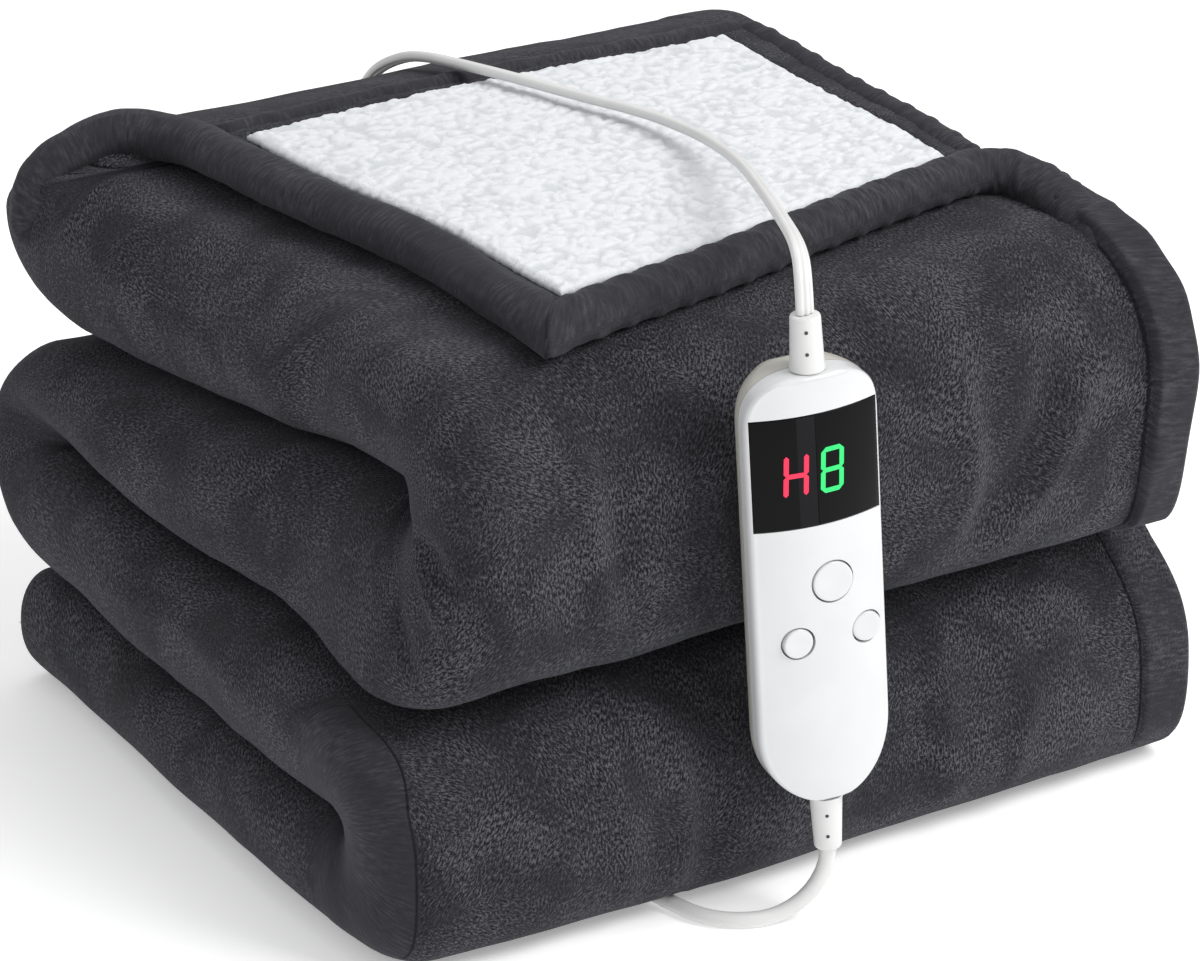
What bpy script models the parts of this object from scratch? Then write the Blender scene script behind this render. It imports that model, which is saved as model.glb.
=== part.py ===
"""Electric throw blanket, folded into a stack, with its hand controller, lead and mains cord.

All sizes are in metres.  The stack is first laid out in its own frame: x runs along the front
face from the left end, y runs from the front folds to the back, z is up from the surface that
the stack lies on.  ORIGIN then puts the middle of its footprint at the world's origin.
"""
import math

import bmesh
import bpy
from mathutils import Matrix, Vector

MM = 0.001
GAP = 0.3 * MM                       # running gap between two pieces that touch

# ---------------------------------------------------------------- the throw: driving sizes
ORIGIN = Vector((0.1463, 0.1271, 0.0))
FLOOR_SNAP = 1.2 * MM                # cloth this close to the surface lies flat on it
DEPTH = 0.284                        # front folds to back folds
PLY_SHARE = 0.228                    # thickness of one ply as a share of its pass of four
PLY_LOFT = 13.0 * MM                 # thickness of a ply that nothing presses
SLIT = 1.0 * MM                      # space between two passes
ROLL_SHARE = 0.30                    # depth of the rolled left edge as a share of its pass
HEM_WIDTH = 22.0 * MM
HEM_RAISE = 3.6 * MM                 # a hem stands this far over the cloth beside it
HEM_STEP = 3.0 * MM                  # width of the slope at the foot of a hem
ROLLED_RIM = 5.6 * MM                # rise of the fat rolled hem round the upper front fold
ROLL_LOW_POWER = 3.2                 # the left end of the top pass is squarer than an ellipse below
NOSE_STEPS = 8
NOSE_TOP_POWER = 2.2                 # 2 is an ellipse, more is squarer
FLAP_THICKNESS = 10.0 * MM
LOW_FRONT_SKEW = 0.012               # the lowest front fold lies this much further back at the right
FLAP_FRONT = 0.022                   # y of the flap's front left corner
FLAP_BACK = 0.238                    # y where the flap's back fold begins
FLAP_SKEW = 0.25                     # slope of the flap's front hem across the stack
FLAP_DROOP = 0.8                     # share of the front fold's own fall that the flap takes up
FLAP_HEM_FRONT = 14.0 * MM
FLAP_HEM_BACK = 14.0 * MM
FLAP_HEM_LEFT = (3.0 * MM, 13.0 * MM)    # its width at the flap's back and front
FLAP_HEM_RIGHT = (16.0 * MM, 12.0 * MM)
PILE = 3.4 * MM                      # thickness of the sherpa panel

# height of each line between two passes, at the front and at the back
FOLD_LINES = {
    "floor": (0.0, 0.0),
    "low slit": (0.042, 0.037),
    "packet line": (0.090, 0.090),
    "top slit": (0.153, 0.133),
    "flap bed": (0.198, 0.200),
    "flap top": (0.198 + FLAP_THICKNESS, 0.200 + FLAP_THICKNESS),
}

# the four passes and the flap: the lines under and over them, and the side that ply one is on
PASSES = {
    "bottom": ("floor", "low slit", "under"),
    "third": ("low slit", "packet line", "over"),
    "second": ("packet line", "top slit", "under"),
    "first": ("top slit", "flap bed", "over"),
    "flap": ("flap bed", "flap top", "under"),
}

# the folds between passes: centre in y, reach, squareness of the lower half, lower line, slit,
# upper line, which way they face
NOSES = {
    "low front": (0.046, 0.052, 4.5, "floor", "low slit", "packet line", -1),
    "back": (0.236, 0.052, 2.6, "low slit", "packet line", "top slit", 1),
    "high front": (0.048, 0.053, 5.5, "packet line", "top slit", "flap bed", -1),
    "flap back": (0.240, 0.046, 2.8, "top slit", "flap bed", "flap top", 1),
}

# ends of the cloth along the fold, in order: pass or nose, place in it, left x, right x
EDGES = (
    ("bottom", 0.276, -0.008, 0.302),
    ("bottom", 0.060, -0.010, 0.305),
    ("low front", 0.0, -0.008, 0.306),
    ("third", 0.060, -0.010, 0.303),
    ("third", 0.230, -0.012, 0.302),
    ("back", 0.0, -0.014, 0.302),
    ("second", 0.230, -0.010, 0.300),
    ("second", 0.060, 0.008, 0.300),
    ("high front", 0.0, 0.018, 0.299),
    ("high front", 1.57, 0.021, 0.298),
    ("first", 0.085, 0.019, 0.294),
    ("first", 0.120, 0.015, 0.276),
    ("first", 0.230, 0.000, 0.275),
    ("flap back", 0.0, -0.005, 0.276),
    ("flap", FLAP_BACK, 0.050, 0.278),
    ("flap", FLAP_FRONT, 0.066, 0.276),
)

# ---------------------------------------------------------------- controller: driving sizes
CONTROLLER_LENGTH = 0.152
CONTROLLER_HALF = 0.0232                 # half its width
CONTROLLER_DEPTH = 0.0215
CONTROLLER_CENTRE = (0.1366, -0.0325, 0.1225)    # middle of the front face, in the stack's frame
CONTROLLER_TILT = math.radians(3.4)      # it hangs with its foot to the right
CONTROLLER_YAW = math.radians(8.0)       # and with its face turned to the left
CROWN = 4.8 * MM                         # the front bows this far across its width
CORNER = 16.0 * MM                       # radius of the two top corners
TOP_ARCH = 3.0 * MM                      # rise of the top end at its middle
FOOT = 27.0 * MM                         # height of the rounded foot
FACE_EDGE = 1.8 * MM                     # rounding between the face and the sides
SHELL_SPLIT = 10.0 * MM                  # depth at which the front shell meets the back shell
BACK_FLAT = 0.56                         # share of the width that is flat at the back
WINDOW_HEIGHT = 0.0392
WINDOW_TOP = 0.0130                      # from the controller's top end
WINDOW_DEPTH = 1.8 * MM
WINDOW_MARGIN = 1.1 * MM
BUTTONS = {                              # across, down from the top end, radius
    "button_power": (0.0030, 0.0730, 0.0072),
    "button_left": (-0.0096, 0.0928, 0.0054),
    "button_right": (0.0150, 0.0928, 0.0054),
}
BUTTON_DEPTH = 3.4 * MM
BUTTON_PROUD = 0.4 * MM
BUTTON_TRAVEL = 0.8 * MM

# ---------------------------------------------------------------- lead and mains cord
LEAD_WIDTH = 4.8 * MM
MAINS_DIAMETER = 5.4 * MM
CORD_SIDES = 2                           # Blender's roundness setting for a cord: 12 sides
RELIEF_TOP = (0.0185, 0.0056, 0.0050)    # length, radius at the housing, radius at the cord
RELIEF_BEHIND = 6.5 * MM                 # the reliefs' axis lies this far behind the face
RELIEF_FOOT = (0.0195, 0.0054, 0.0046)
COIL_TURNS_ACROSS = 4
COIL_LAYERS = 2
COIL_RADIUS = 0.0300                     # to the middle of the turns
COIL_CENTRE = (0.130, 0.345)
PLUG_BODY = (0.0290, 0.0240, 0.0150)     # along, across, high
PLUG_RELIEF = (0.0220, 0.0034, 0.0052)   # length, radius at the cord, radius at the body
BLADE = (0.0158, 0.0015, 0.0063)
BLADE_SPACING = 0.0127
GROOVE_HEIGHT = 7.0 * MM
GROOVE_HALF = 3.9 * MM
GROOVE_SLOPE = 2.4 * MM


def lerp(a, b, t):
    return a + (b - a) * t


def line_height(name, y):
    front, back = FOLD_LINES[name]
    return lerp(front, back, min(max(y / DEPTH, 0.0), 1.0))


def uneven(p):
    """Soft unevenness of the pile of cloth, nil at the surface that it lies on."""
    x, y, z = p
    lift = min(z / 0.03, 1.0)
    front = math.exp(-((y / 0.05) ** 2))
    wave = math.sin(x * 40.0 + z * 22.0 + 0.4) + 0.5 * math.sin(x * 71.0 - z * 35.0 + 1.7)
    side = math.sin(y * 33.0 + z * 47.0) + 0.6 * math.sin(y * 61.0 - z * 30.0 + 0.8)
    low = min(max((0.100 - z) / 0.020, 0.0), 1.0)
    back_set = LOW_FRONT_SKEW * min(max((x - 0.12) / 0.19, 0.0), 1.0) * front * low
    return Vector((
        x + 1.3 * MM * side * lift,
        y + back_set + 1.5 * MM * wave * lift * front
        + 1.2 * MM * math.sin(x * 23.0 + z * 50.0) * lift * (1 - front),
        z + 0.9 * MM * math.sin(x * 27.0 + 1.0) * math.sin(y * 25.0) * lift,
    ))


# ---------------------------------------------------------------- route of the two cords
LEAD_ROUTE = (                           # from the controller's top, over the flap, to the back
    (0.1318, -0.0246, 0.2248), (0.1327, -0.0224, 0.2292), (0.1345, -0.0184, 0.2326),
    (0.1374, -0.0114, 0.2345), (0.1419, -0.0005, 0.2343), (0.1494, 0.0172, 0.2321),
    (0.1592, 0.0407, 0.2289), (0.1733, 0.0775, 0.2242), (0.1808, 0.1044, 0.2207),
    (0.1839, 0.1256, 0.2186), (0.1826, 0.1469, 0.2175), (0.1784, 0.1621, 0.2173),
    (0.1732, 0.1743, 0.2173), (0.1646, 0.1953, 0.2174), (0.1588, 0.2097, 0.2175),
    (0.1540, 0.2225, 0.2172), (0.1500, 0.2350, 0.2165), (0.1468, 0.2462, 0.2154),
    (0.1444, 0.2570, 0.2128), (0.1428, 0.2689, 0.2072), (0.1416, 0.2777, 0.2009),
    (0.1408, 0.2844, 0.1928), (0.1400, 0.2883, 0.1839), (0.1392, 0.2905, 0.1720),
    (0.1375, 0.2940, 0.1450), (0.1368, 0.2966, 0.1200), (0.1375, 0.2990, 0.0900),
    (0.1405, 0.3020, 0.0560), (0.1490, 0.3050, 0.0260), (0.1665, 0.3060, 0.0080),
    (0.1850, 0.3070, 0.0030), (0.2100, 0.3090, 0.0027), (0.2320, 0.3120, 0.0028),
    (0.2520, 0.3110, 0.0034), (0.2670, 0.3020, 0.0075), (0.2720, 0.2920, 0.0180),
    (0.2700, 0.2850, 0.0340),
)
MAINS_ROUTE = (                          # from the controller's foot, under the throw, to the coil
    (0.1398, -0.0255, 0.0130), (0.1355, -0.0250, 0.0070), (0.1300, -0.0242, 0.0038),
    (0.1235, -0.0225, 0.0028), (0.1160, -0.0185, 0.0028), (0.1095, -0.0125, 0.0028),
    (0.1040, -0.0040, 0.0028), (0.0998, 0.0120, 0.0028), (0.0976, 0.0380, 0.0028),
    (0.0970, 0.0800, 0.0028), (0.0972, 0.1300, 0.0028), (0.0980, 0.1900, 0.0028),
    (0.0985, 0.2500, 0.0028), (0.0990, 0.2800, 0.0028), (0.0997, 0.3000, 0.0028),
    (0.1000, 0.3143, 0.0028),
)
TAIL_ROUTE = (                           # from the coil to the plug's strain relief
    (0.1607, 0.3750, 0.0028), (0.1700, 0.3750, 0.0028), (0.1850, 0.3735, 0.0030),
    (0.1970, 0.3680, 0.0038), (0.2070, 0.3600, 0.0052), (0.2150, 0.3535, 0.0066),
    (0.2240, 0.3502, 0.0074), (0.2320, 0.3495, 0.0075),
)


def groove_x(y):
    """Middle of the hollow that the mains cord presses into the underside, at depth y."""
    under = [p for p in MAINS_ROUTE if p[1] > -0.013]
    if y <= under[0][1]:
        return under[0][0]
    for a, b in zip(under, under[1:]):
        if y <= b[1]:
            return lerp(a[0], b[0], (y - a[1]) / (b[1] - a[1]))
    return under[-1][0]


# ---------------------------------------------------------------- stations along the fold
class Station:
    """One cut across the fold: the points where its two faces are, and the ends of the cloth."""

    def __init__(self, place, along, one, four):
        self.place = place           # name of the pass or nose
        self.along = along           # y in a pass, angle in a nose
        self.one = Vector(one)       # outer face of ply one, as (y, z)
        self.four = Vector(four)     # outer face of ply four, as (y, z)
        self.left = 0.0
        self.right = 0.0
        self.skew = 0.0
        self.toward_front = 0.0      # share of the way from the flap's back fold to its front hem
        self.taper = 1.0             # thinner plies where the cloth ends
        self.rim = 0.0               # hem on the right end of ply one
        self.border_left = 0.0       # hems on ply four, which is the top of the flap
        self.border_right = 0.0
        self.border_all = 0.0
        self.roll_power = 2.0        # squareness of the rolled left edge on the side of ply four


def droop(y):
    """How far the top of the high front fold falls at depth y, which the flap follows."""
    centre, reach = NOSES["high front"][:2]
    half = (line_height("flap bed", centre) - line_height("packet line", centre)) / 2
    out = min(max((centre - y) / reach, 0.0), 1.0)
    return half * (1 - (1 - out ** NOSE_TOP_POWER) ** (1 / NOSE_TOP_POWER))


def pass_station(name, y):
    under, over, side = PASSES[name]
    low = (y, line_height(under, y) + (0.0 if under == "floor" else SLIT / 2))
    high = (y, line_height(over, y) - (0.0 if over == "flap top" else SLIT / 2))
    return Station(name, y, low, high) if side == "under" else Station(name, y, high, low)


def nose_stations(name):
    centre, reach, low_power, lower, slit, upper, facing = NOSES[name]
    low = line_height(lower, centre) + (0.0 if lower == "floor" else SLIT / 2)
    high = line_height(upper, centre) - (0.0 if upper == "flap top" else SLIT / 2)
    middle, half = (low + high) / 2, (high - low) / 2
    stations = []
    for i in range(NOSE_STEPS + 1):
        angle = math.pi * (i / NOSE_STEPS - 0.5)
        c, s = math.cos(angle), math.sin(angle)
        power = NOSE_TOP_POWER if s > 0 else low_power
        out_y = centre + facing * reach * abs(c) ** (2 / power)
        out_z = middle + half * math.copysign(abs(s) ** (2 / power), s)
        in_y = centre + facing * SLIT / 2 * c
        in_z = line_height(slit, centre) + SLIT / 2 * s
        outer, inner = (out_y, out_z), (in_y, in_z)
        if facing < 0:
            stations.append(Station(name, angle, outer, inner))
        else:
            stations.append(Station(name, angle, inner, outer))
    return stations


def all_stations():
    """Every station from the free end at the back of the bottom pass to the flap's front hem."""
    s = [pass_station("bottom", y) for y in (0.276, 0.2745, 0.268, 0.200, 0.130, 0.085, 0.063)]
    s[0].taper, s[1].taper = 0.45, 0.85
    s += nose_stations("low front")
    s += [pass_station("third", y) for y in (0.110, 0.175)]
    s += nose_stations("back")
    s += [pass_station("second", y) for y in (0.175, 0.110)]
    s += nose_stations("high front")
    s += [pass_station("first", y) for y in (0.085, 0.120, 0.155, 0.195)]
    s += nose_stations("flap back")
    hem_back, hem_front = FLAP_BACK - FLAP_HEM_BACK, FLAP_FRONT + FLAP_HEM_FRONT
    flap_rows = (FLAP_BACK - 0.003, hem_back, hem_back - HEM_STEP, 0.185, 0.142, 0.098, 0.062,
                 hem_front + HEM_STEP, hem_front, FLAP_FRONT + 0.006, FLAP_FRONT + 0.0015, FLAP_FRONT)
    flap = [pass_station("flap", y) for y in flap_rows]
    for station in flap:
        station.toward_front = (FLAP_BACK - station.along) / (FLAP_BACK - FLAP_FRONT)
        station.skew = FLAP_SKEW * station.toward_front
        station.border_left = station.border_right = HEM_RAISE
        hem = station.along <= hem_front + 1e-6 or station.along > hem_back - 1e-6
        station.border_all = HEM_RAISE if hem else 0.0
    flap[-1].taper, flap[-2].taper = 0.45, 0.85
    flap[-1].border_all = flap[-1].border_left = flap[-1].border_right = 0.3 * HEM_RAISE
    s += flap
    for station in s:
        if station.place == "high front":
            station.rim = ROLLED_RIM * max(0.0, math.cos((station.along - 0.6) * 0.75))
        elif station.place == "low front":
            station.rim = HEM_RAISE * max(0.0, math.cos(station.along * 1.15))
        elif station.place == "first" and station.along < 0.1:
            station.rim = ROLLED_RIM
        elif station.place == "flap back":
            rise = max(0.0, math.sin(station.along + 0.5))
            station.border_left = HEM_RAISE * rise
            station.border_right = HEM_RAISE * max(0.0, math.sin(station.along))
            station.border_all = HEM_RAISE if station.along > 1.5 else 0.0
            station.roll_power = lerp(ROLL_LOW_POWER, 2.0, station.along / math.pi + 0.5)
        if station.place == "first" and station.along > 0.1:
            station.roll_power = lerp(2.0, ROLL_LOW_POWER, min((station.along - 0.1) / 0.06, 1.0))
    set_edges(s)
    return s


def set_edges(stations):
    """Read the left and right ends of the cloth from EDGES, by distance along the fold."""
    travel, total = [], 0.0
    middles = [(st.one + st.four) / 2 for st in stations]
    for i, middle in enumerate(middles):
        total += (middle - middles[i - 1]).length if i else 0.0
        travel.append(total)
    knots = []
    for place, along, left, right in EDGES:
        nearest = min((abs(st.along - along), d) for st, d in zip(stations, travel) if st.place == place)
        knots.append((nearest[1], left, right))
    for station, d in zip(stations, travel):
        before = [k for k in knots if k[0] <= d + 1e-9]
        after = [k for k in knots if k[0] > d + 1e-9]
        a = before[-1] if before else knots[0]
        b = after[0] if after else a
        t = (d - a[0]) / (b[0] - a[0]) if b[0] > a[0] else 0.0
        t = t * t * (3 - 2 * t)
        station.left, station.right = lerp(a[1], b[1], t), lerp(a[2], b[2], t)


# ---------------------------------------------------------------- the cut across four plies
def arc(cx, cn, rx, rn, start, end, steps, low_power=2.0):
    """Inner points of an arc about (cx, cn), the angles in degrees, squarer below cn by low_power."""
    points = []
    for i in range(1, steps):
        angle = math.radians(lerp(start, end, i / steps))
        c, s = math.cos(angle), math.sin(angle)
        share = 2 / (low_power if s < 0 else 2.0)
        points.append((cx + rx * math.copysign(abs(c) ** share, c), cn + rn * math.copysign(abs(s) ** share, s)))
    return points


def section(station):
    """Outline of the four plies at a station, as (x, n, role), n from ply four up to ply one.

    The cloth runs in from the right as ply one, rolls round the left edge into ply four, folds
    back at the right into ply three and rolls inside the first roll into ply two.
    """
    thick = (station.one - station.four).length
    ply = min(PLY_SHARE * thick, PLY_LOFT)
    left, right = station.left, station.right
    one, two, three, four = (thick * k / 8 for k in (3, 1, -1, -3))
    roll = ROLL_SHARE * thick
    roll_x = left + ply / 2 + roll
    fold_x = right - 2.0 * MM - ply / 2 - thick / 8
    inner_x = left + ply * 1.5 + max(thick / 4 - ply, 0.6 * MM) + thick / 8
    hem_in = right - HEM_WIDTH
    hem_foot = hem_in - HEM_STEP
    width = right - left
    y = station.one.x
    groove = groove_x(y)
    slope = (groove_x(y + 0.004) - groove_x(y - 0.004)) / 0.008
    half = GROOVE_HALF * math.sqrt(1 + slope * slope)

    line = [(right - ply * 0.25, one, "rim end"), (hem_in, one, "rim"), (hem_foot, one, ""),
            (left + 0.66 * width, one, ""),
            (groove + half + GROOVE_SLOPE, one, ""), (groove + half, one, "groove"),
            (groove, one, "groove top"), (groove - half, one, "groove"),
            (groove - half - GROOVE_SLOPE, one, ""), (roll_x, one, "")]
    line += [(x, n, "roll") for x, n in arc(roll_x, 0.0, roll, one, 90, 270, 8, station.roll_power)]
    border_in = roll_x + lerp(*FLAP_HEM_LEFT, station.toward_front)
    border_out = right - 6.0 * MM - lerp(*FLAP_HEM_RIGHT, station.toward_front)
    line += [(roll_x, four, "border left"), (border_in, four, "border left"),
             (border_in + HEM_STEP, four, ""), (left + 0.42 * width, four, ""),
             (left + 0.66 * width, four, ""), (border_out, four, ""),
             (border_out + HEM_STEP, four, "border right"), (fold_x, four, "border right")]
    line += [(x, n, "border fold" if n < -thick / 4 else "")
             for x, n in arc(fold_x, -thick / 4, thick / 8, thick / 8, -90, 90, 5)]
    line += [(fold_x, three, ""), (left + 0.5 * width, three, ""), (inner_x, three, "")]
    line += [(x, n, "") for x, n in arc(inner_x, 0.0, thick / 8, thick / 8, 270, 90, 5)]
    line += [(inner_x, two, ""), (left + 0.5 * width, two, ""), (right - 5 * MM, two, "")]

    half_ply = ply / 2 * station.taper
    outer, inner = [], []
    for i, (x, n, role) in enumerate(line):
        a = line[max(i - 1, 0)]
        b = line[min(i + 1, len(line) - 1)]
        dx, dn = b[0] - a[0], b[1] - a[1]
        size = math.hypot(dx, dn) or 1.0
        nx, nn = dn / size, -dx / size
        rise = {"rim": station.rim, "rim end": station.rim,
                "border left": max(station.border_left, station.border_all),
                "border right": max(station.border_right, station.border_all),
                "border fold": 0.6 * max(station.border_right, station.border_all)}.get(role, 0.0)
        if role == "" and n == four:
            rise = station.border_all
        if role == "roll" and n < 0:
            rise = max(station.border_left, station.border_all) * (n / four) ** 2
        outer.append((x + nx * (half_ply + rise), n + nn * (half_ply + rise), role))
        inner.append((x - nx * half_ply, n - nn * half_ply, ""))
    tip_one = [(line[0][0] + ply * 0.25, line[0][1] + station.rim * 0.5, "")]
    tip_two = [(line[-1][0] + ply * 0.3, line[-1][1], "")]
    return tip_one + outer + tip_two + inner[::-1]


def place(station, x, n):
    """World point of (x, n) at a station."""
    across = station.one - station.four
    middle = (station.one + station.four) / 2
    at = middle + across.normalized() * n
    y = at.x + station.skew * (x - station.left)
    z = at.y if at.y > FLOOR_SNAP else 0.0
    z -= FLAP_DROOP * droop(y) if station.place == "flap" else 0.0
    return uneven((x, y, z))


def ring(station):
    """World points round the cloth at a station, with the mains cord's hollow pressed in."""
    points = []
    for x, n, role in section(station):
        p = place(station, x, n)
        if role.startswith("groove") and station.place in ("bottom", "low front") and p.z < GROOVE_HEIGHT:
            p.z = GROOVE_HEIGHT
        points.append(p - ORIGIN)
    return points


# ---------------------------------------------------------------- helpers for Blender objects
def material(name, colour, roughness, metallic=0.0):
    found = bpy.data.materials.get(name)
    if found:
        return found
    mat = bpy.data.materials.new(name)
    mat.use_nodes = True
    shader = mat.node_tree.nodes["Principled BSDF"]
    shader.inputs["Base Color"].default_value = (*colour, 1.0)
    shader.inputs["Roughness"].default_value = roughness
    shader.inputs["Metallic"].default_value = metallic
    mat.diffuse_color = (*colour, 1.0)
    return mat


def add_object(name, bm, mat, collection, smooth=True):
    """Make a named object from a bmesh, its faces pointing out."""
    bmesh.ops.recalc_face_normals(bm, faces=bm.faces)
    mesh = bpy.data.meshes.new(name)
    bm.to_mesh(mesh)
    bm.free()
    mesh.materials.append(mat)
    if smooth:
        mesh.shade_smooth()
        mesh.set_sharp_from_angle(angle=math.radians(40))
    obj = bpy.data.objects.new(name, mesh)
    collection.objects.link(obj)
    return obj


def loft(bm, rings):
    """Join rings of the same number of points and cap both ends."""
    rows = [[bm.verts.new(p) for p in points] for points in rings]
    count = len(rows[0])
    for low, high in zip(rows, rows[1:]):
        for i in range(count):
            j = (i + 1) % count
            bm.faces.new((low[i], low[j], high[j], high[i]))
    for row in (rows[0], rows[-1]):
        cap = bm.faces.new(row)
        cap.normal_update()
        bmesh.ops.triangulate(bm, faces=[cap], ngon_method="EAR_CLIP")


def smooth_route(points, spacing):
    """Points every `spacing` along a smooth curve through the given ones."""
    pts = [Vector(p) for p in points]
    dense = []
    for i in range(len(pts) - 1):
        p0 = pts[i - 1] if i else pts[0] * 2 - pts[1]
        p1, p2 = pts[i], pts[i + 1]
        p3 = pts[i + 2] if i + 2 < len(pts) else p2 * 2 - p1
        for k in range(12):
            t = k / 12
            dense.append(0.5 * ((2 * p1) + (p2 - p0) * t + (2 * p0 - 5 * p1 + 4 * p2 - p3) * t ** 2
                                + (3 * p1 - p0 - 3 * p2 + p3) * t ** 3))
    dense.append(pts[-1])
    lengths = [0.0]
    for a, b in zip(dense, dense[1:]):
        lengths.append(lengths[-1] + (b - a).length)
    count = max(2, round(lengths[-1] / spacing))
    out, j = [], 0
    for k in range(count + 1):
        want = lengths[-1] * k / count
        while j < len(lengths) - 2 and lengths[j + 1] < want:
            j += 1
        step = lengths[j + 1] - lengths[j]
        out.append(dense[j].lerp(dense[j + 1], (want - lengths[j]) / step if step else 0.0))
    return out


def tube(name, points, diameter, mat, collection):
    """A plain round cord along points, with filled ends."""
    curve = bpy.data.curves.new(name, "CURVE")
    curve.dimensions = "3D"
    curve.bevel_depth = diameter / 2
    curve.bevel_resolution = CORD_SIDES
    curve.use_fill_caps = True
    spline = curve.splines.new("POLY")
    spline.points.add(len(points) - 1)
    for point, p in zip(spline.points, points):
        point.co = (*(Vector(p) - ORIGIN), 1.0)
    curve.materials.append(mat)
    obj = bpy.data.objects.new(name, curve)
    collection.objects.link(obj)
    return obj


def cone_mesh(matrix, start, end, radius_start, radius_end, segments=16):
    """A capped cone or cylinder on the local z axis of `matrix`, from `start` to `end`."""
    bm = bmesh.new()
    middle = matrix @ Matrix.Translation((0, 0, (start + end) / 2))
    bmesh.ops.create_cone(bm, cap_ends=True, segments=segments, radius1=radius_start, radius2=radius_end,
                          depth=end - start, matrix=middle)
    return bm


def box(name, at, size, mat, collection, edge):
    """A box with rounded edges, its middle at `at` in the stack's frame."""
    bm = bmesh.new()
    bmesh.ops.create_cube(bm, size=1.0)
    bmesh.ops.transform(bm, matrix=Matrix.Translation(Vector(at) - ORIGIN) @ Matrix.Diagonal((*size, 1.0)),
                        verts=bm.verts)
    bmesh.ops.bevel(bm, geom=bm.edges[:], offset=edge, segments=2, affect="EDGES", profile=0.5)
    return add_object(name, bm, mat, collection)


# ---------------------------------------------------------------- the throw and its sherpa panel
def build_throw(collection):
    flannel = material("charcoal flannel", (0.035, 0.035, 0.04), 0.95)
    stations = all_stations()
    bm = bmesh.new()
    loft(bm, [ring(s) for s in stations])
    return add_object("throw_flannel", bm, flannel, collection)


def build_panel(collection):
    """The sherpa panel, sewn in between the flap's four hems."""
    sherpa = material("white sherpa", (0.80, 0.81, 0.83), 1.0)
    inset = 1.0 * MM
    rows = [s for s in all_stations() if s.place == "flap" and s.border_all == 0.0]
    grid_low, grid_high = [], []
    for k, station in enumerate(rows):
        thick = (station.one - station.four).length
        roll_x = station.left + min(PLY_SHARE * thick, PLY_LOFT) / 2 + ROLL_SHARE * thick
        start = roll_x + lerp(*FLAP_HEM_LEFT, station.toward_front) + HEM_STEP + inset
        stop = station.right - 6.0 * MM - lerp(*FLAP_HEM_RIGHT, station.toward_front) - inset
        shift = {0: -inset, len(rows) - 1: inset}.get(k, 0.0)
        low, high = [], []
        for i in range(7):
            x = lerp(start, stop, i / 6)
            ends = 0.8 * MM if i in (0, 6) or k in (0, len(rows) - 1) else 0.0
            for row, n in ((low, -thick / 2 - GAP), (high, -thick / 2 - GAP - PILE + ends)):
                p = place(station, x, n)
                row.append(Vector((p.x, p.y + shift, p.z)) - ORIGIN)
        grid_low.append(low)
        grid_high.append(high)
    bm = bmesh.new()
    loft(bm, [low + high[::-1] for low, high in zip(grid_low, grid_high)])
    return add_object("sherpa_panel", bm, sherpa, collection)


# ---------------------------------------------------------------- the hand controller
def controller_frame():
    """Matrix from the controller's own frame: x across, y into it from the face, z up its length."""
    turn = Matrix.Rotation(-CONTROLLER_YAW, 4, "Z") @ Matrix.Rotation(-CONTROLLER_TILT, 4, "Y")
    return Matrix.Translation(Vector(CONTROLLER_CENTRE) - ORIGIN) @ turn


def crown(x):
    """How far the face lies behind its middle line at a distance x across."""
    return CROWN * (x / CONTROLLER_HALF) ** 2


def half_width(z):
    """Half the housing's width at a height z above its middle."""
    top = CONTROLLER_LENGTH / 2
    shoulder = top - TOP_ARCH - CORNER
    heel = -top + FOOT
    if z > shoulder:
        rise = min((z - shoulder) / (CORNER + TOP_ARCH), 1.0)
        return CONTROLLER_HALF - (CONTROLLER_HALF - 4.0 * MM) * (1 - math.sqrt(1 - rise ** 2.6)) ** 1.15
    if z < heel:
        fall = min((heel - z) / FOOT, 1.0)
        return max(CONTROLLER_HALF * math.sqrt(1 - fall ** 2.2), 4.0 * MM)
    return CONTROLLER_HALF


def housing_levels():
    """Heights of the housing's cuts, close together where its ends round off."""
    top = CONTROLLER_LENGTH / 2
    heel = -top + FOOT
    shoulder = top - TOP_ARCH - CORNER
    foot = [heel - FOOT * math.sin(math.radians(a)) for a in (90, 80, 68, 54, 40, 20)]
    head = [shoulder + (CORNER + TOP_ARCH) * math.sin(math.radians(a)) for a in (20, 40, 54, 68, 80, 90)]
    return foot + [heel, -0.25 * top, 0.30 * top, shoulder] + head


def end_round(z):
    """How far the face draws back at the two ends, to round their edges."""
    near = CONTROLLER_LENGTH / 2 - abs(z)
    return FACE_EDGE * (1 - min(near / FACE_EDGE, 1.0)) ** 2


def front_section(z):
    half = half_width(z)
    inner = half - FACE_EDGE
    drop = end_round(z)
    points = [(-half, SHELL_SPLIT - GAP / 2), (-half, crown(half) + FACE_EDGE + drop),
              (-half + 0.3 * FACE_EDGE, crown(half) + 0.3 * FACE_EDGE + drop)]
    points += [(x * inner, crown(x * inner) + drop) for x in (-1, -0.75, -0.5, -0.25, 0, 0.25, 0.5, 0.75, 1)]
    points += [(-x, y) for x, y in points[2::-1]]
    return points


def back_section(z):
    half = half_width(z)
    deep = CONTROLLER_DEPTH - 2.0 * end_round(z)
    split = SHELL_SPLIT + GAP / 2
    points = [(half, split)]
    for a in (20, 42, 64, 90):
        r = math.radians(a)
        points.append((half * (BACK_FLAT + (1 - BACK_FLAT) * math.cos(r)), split + (deep - split) * math.sin(r)))
    return points + [(-x, y) for x, y in points[::-1]]


def housing(name, section_at, mat, collection):
    frame = controller_frame()
    bm = bmesh.new()
    loft(bm, [[frame @ Vector((x, y, z)) for x, y in section_at(z)] for z in housing_levels()])
    return add_object(name, bm, mat, collection)


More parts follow.
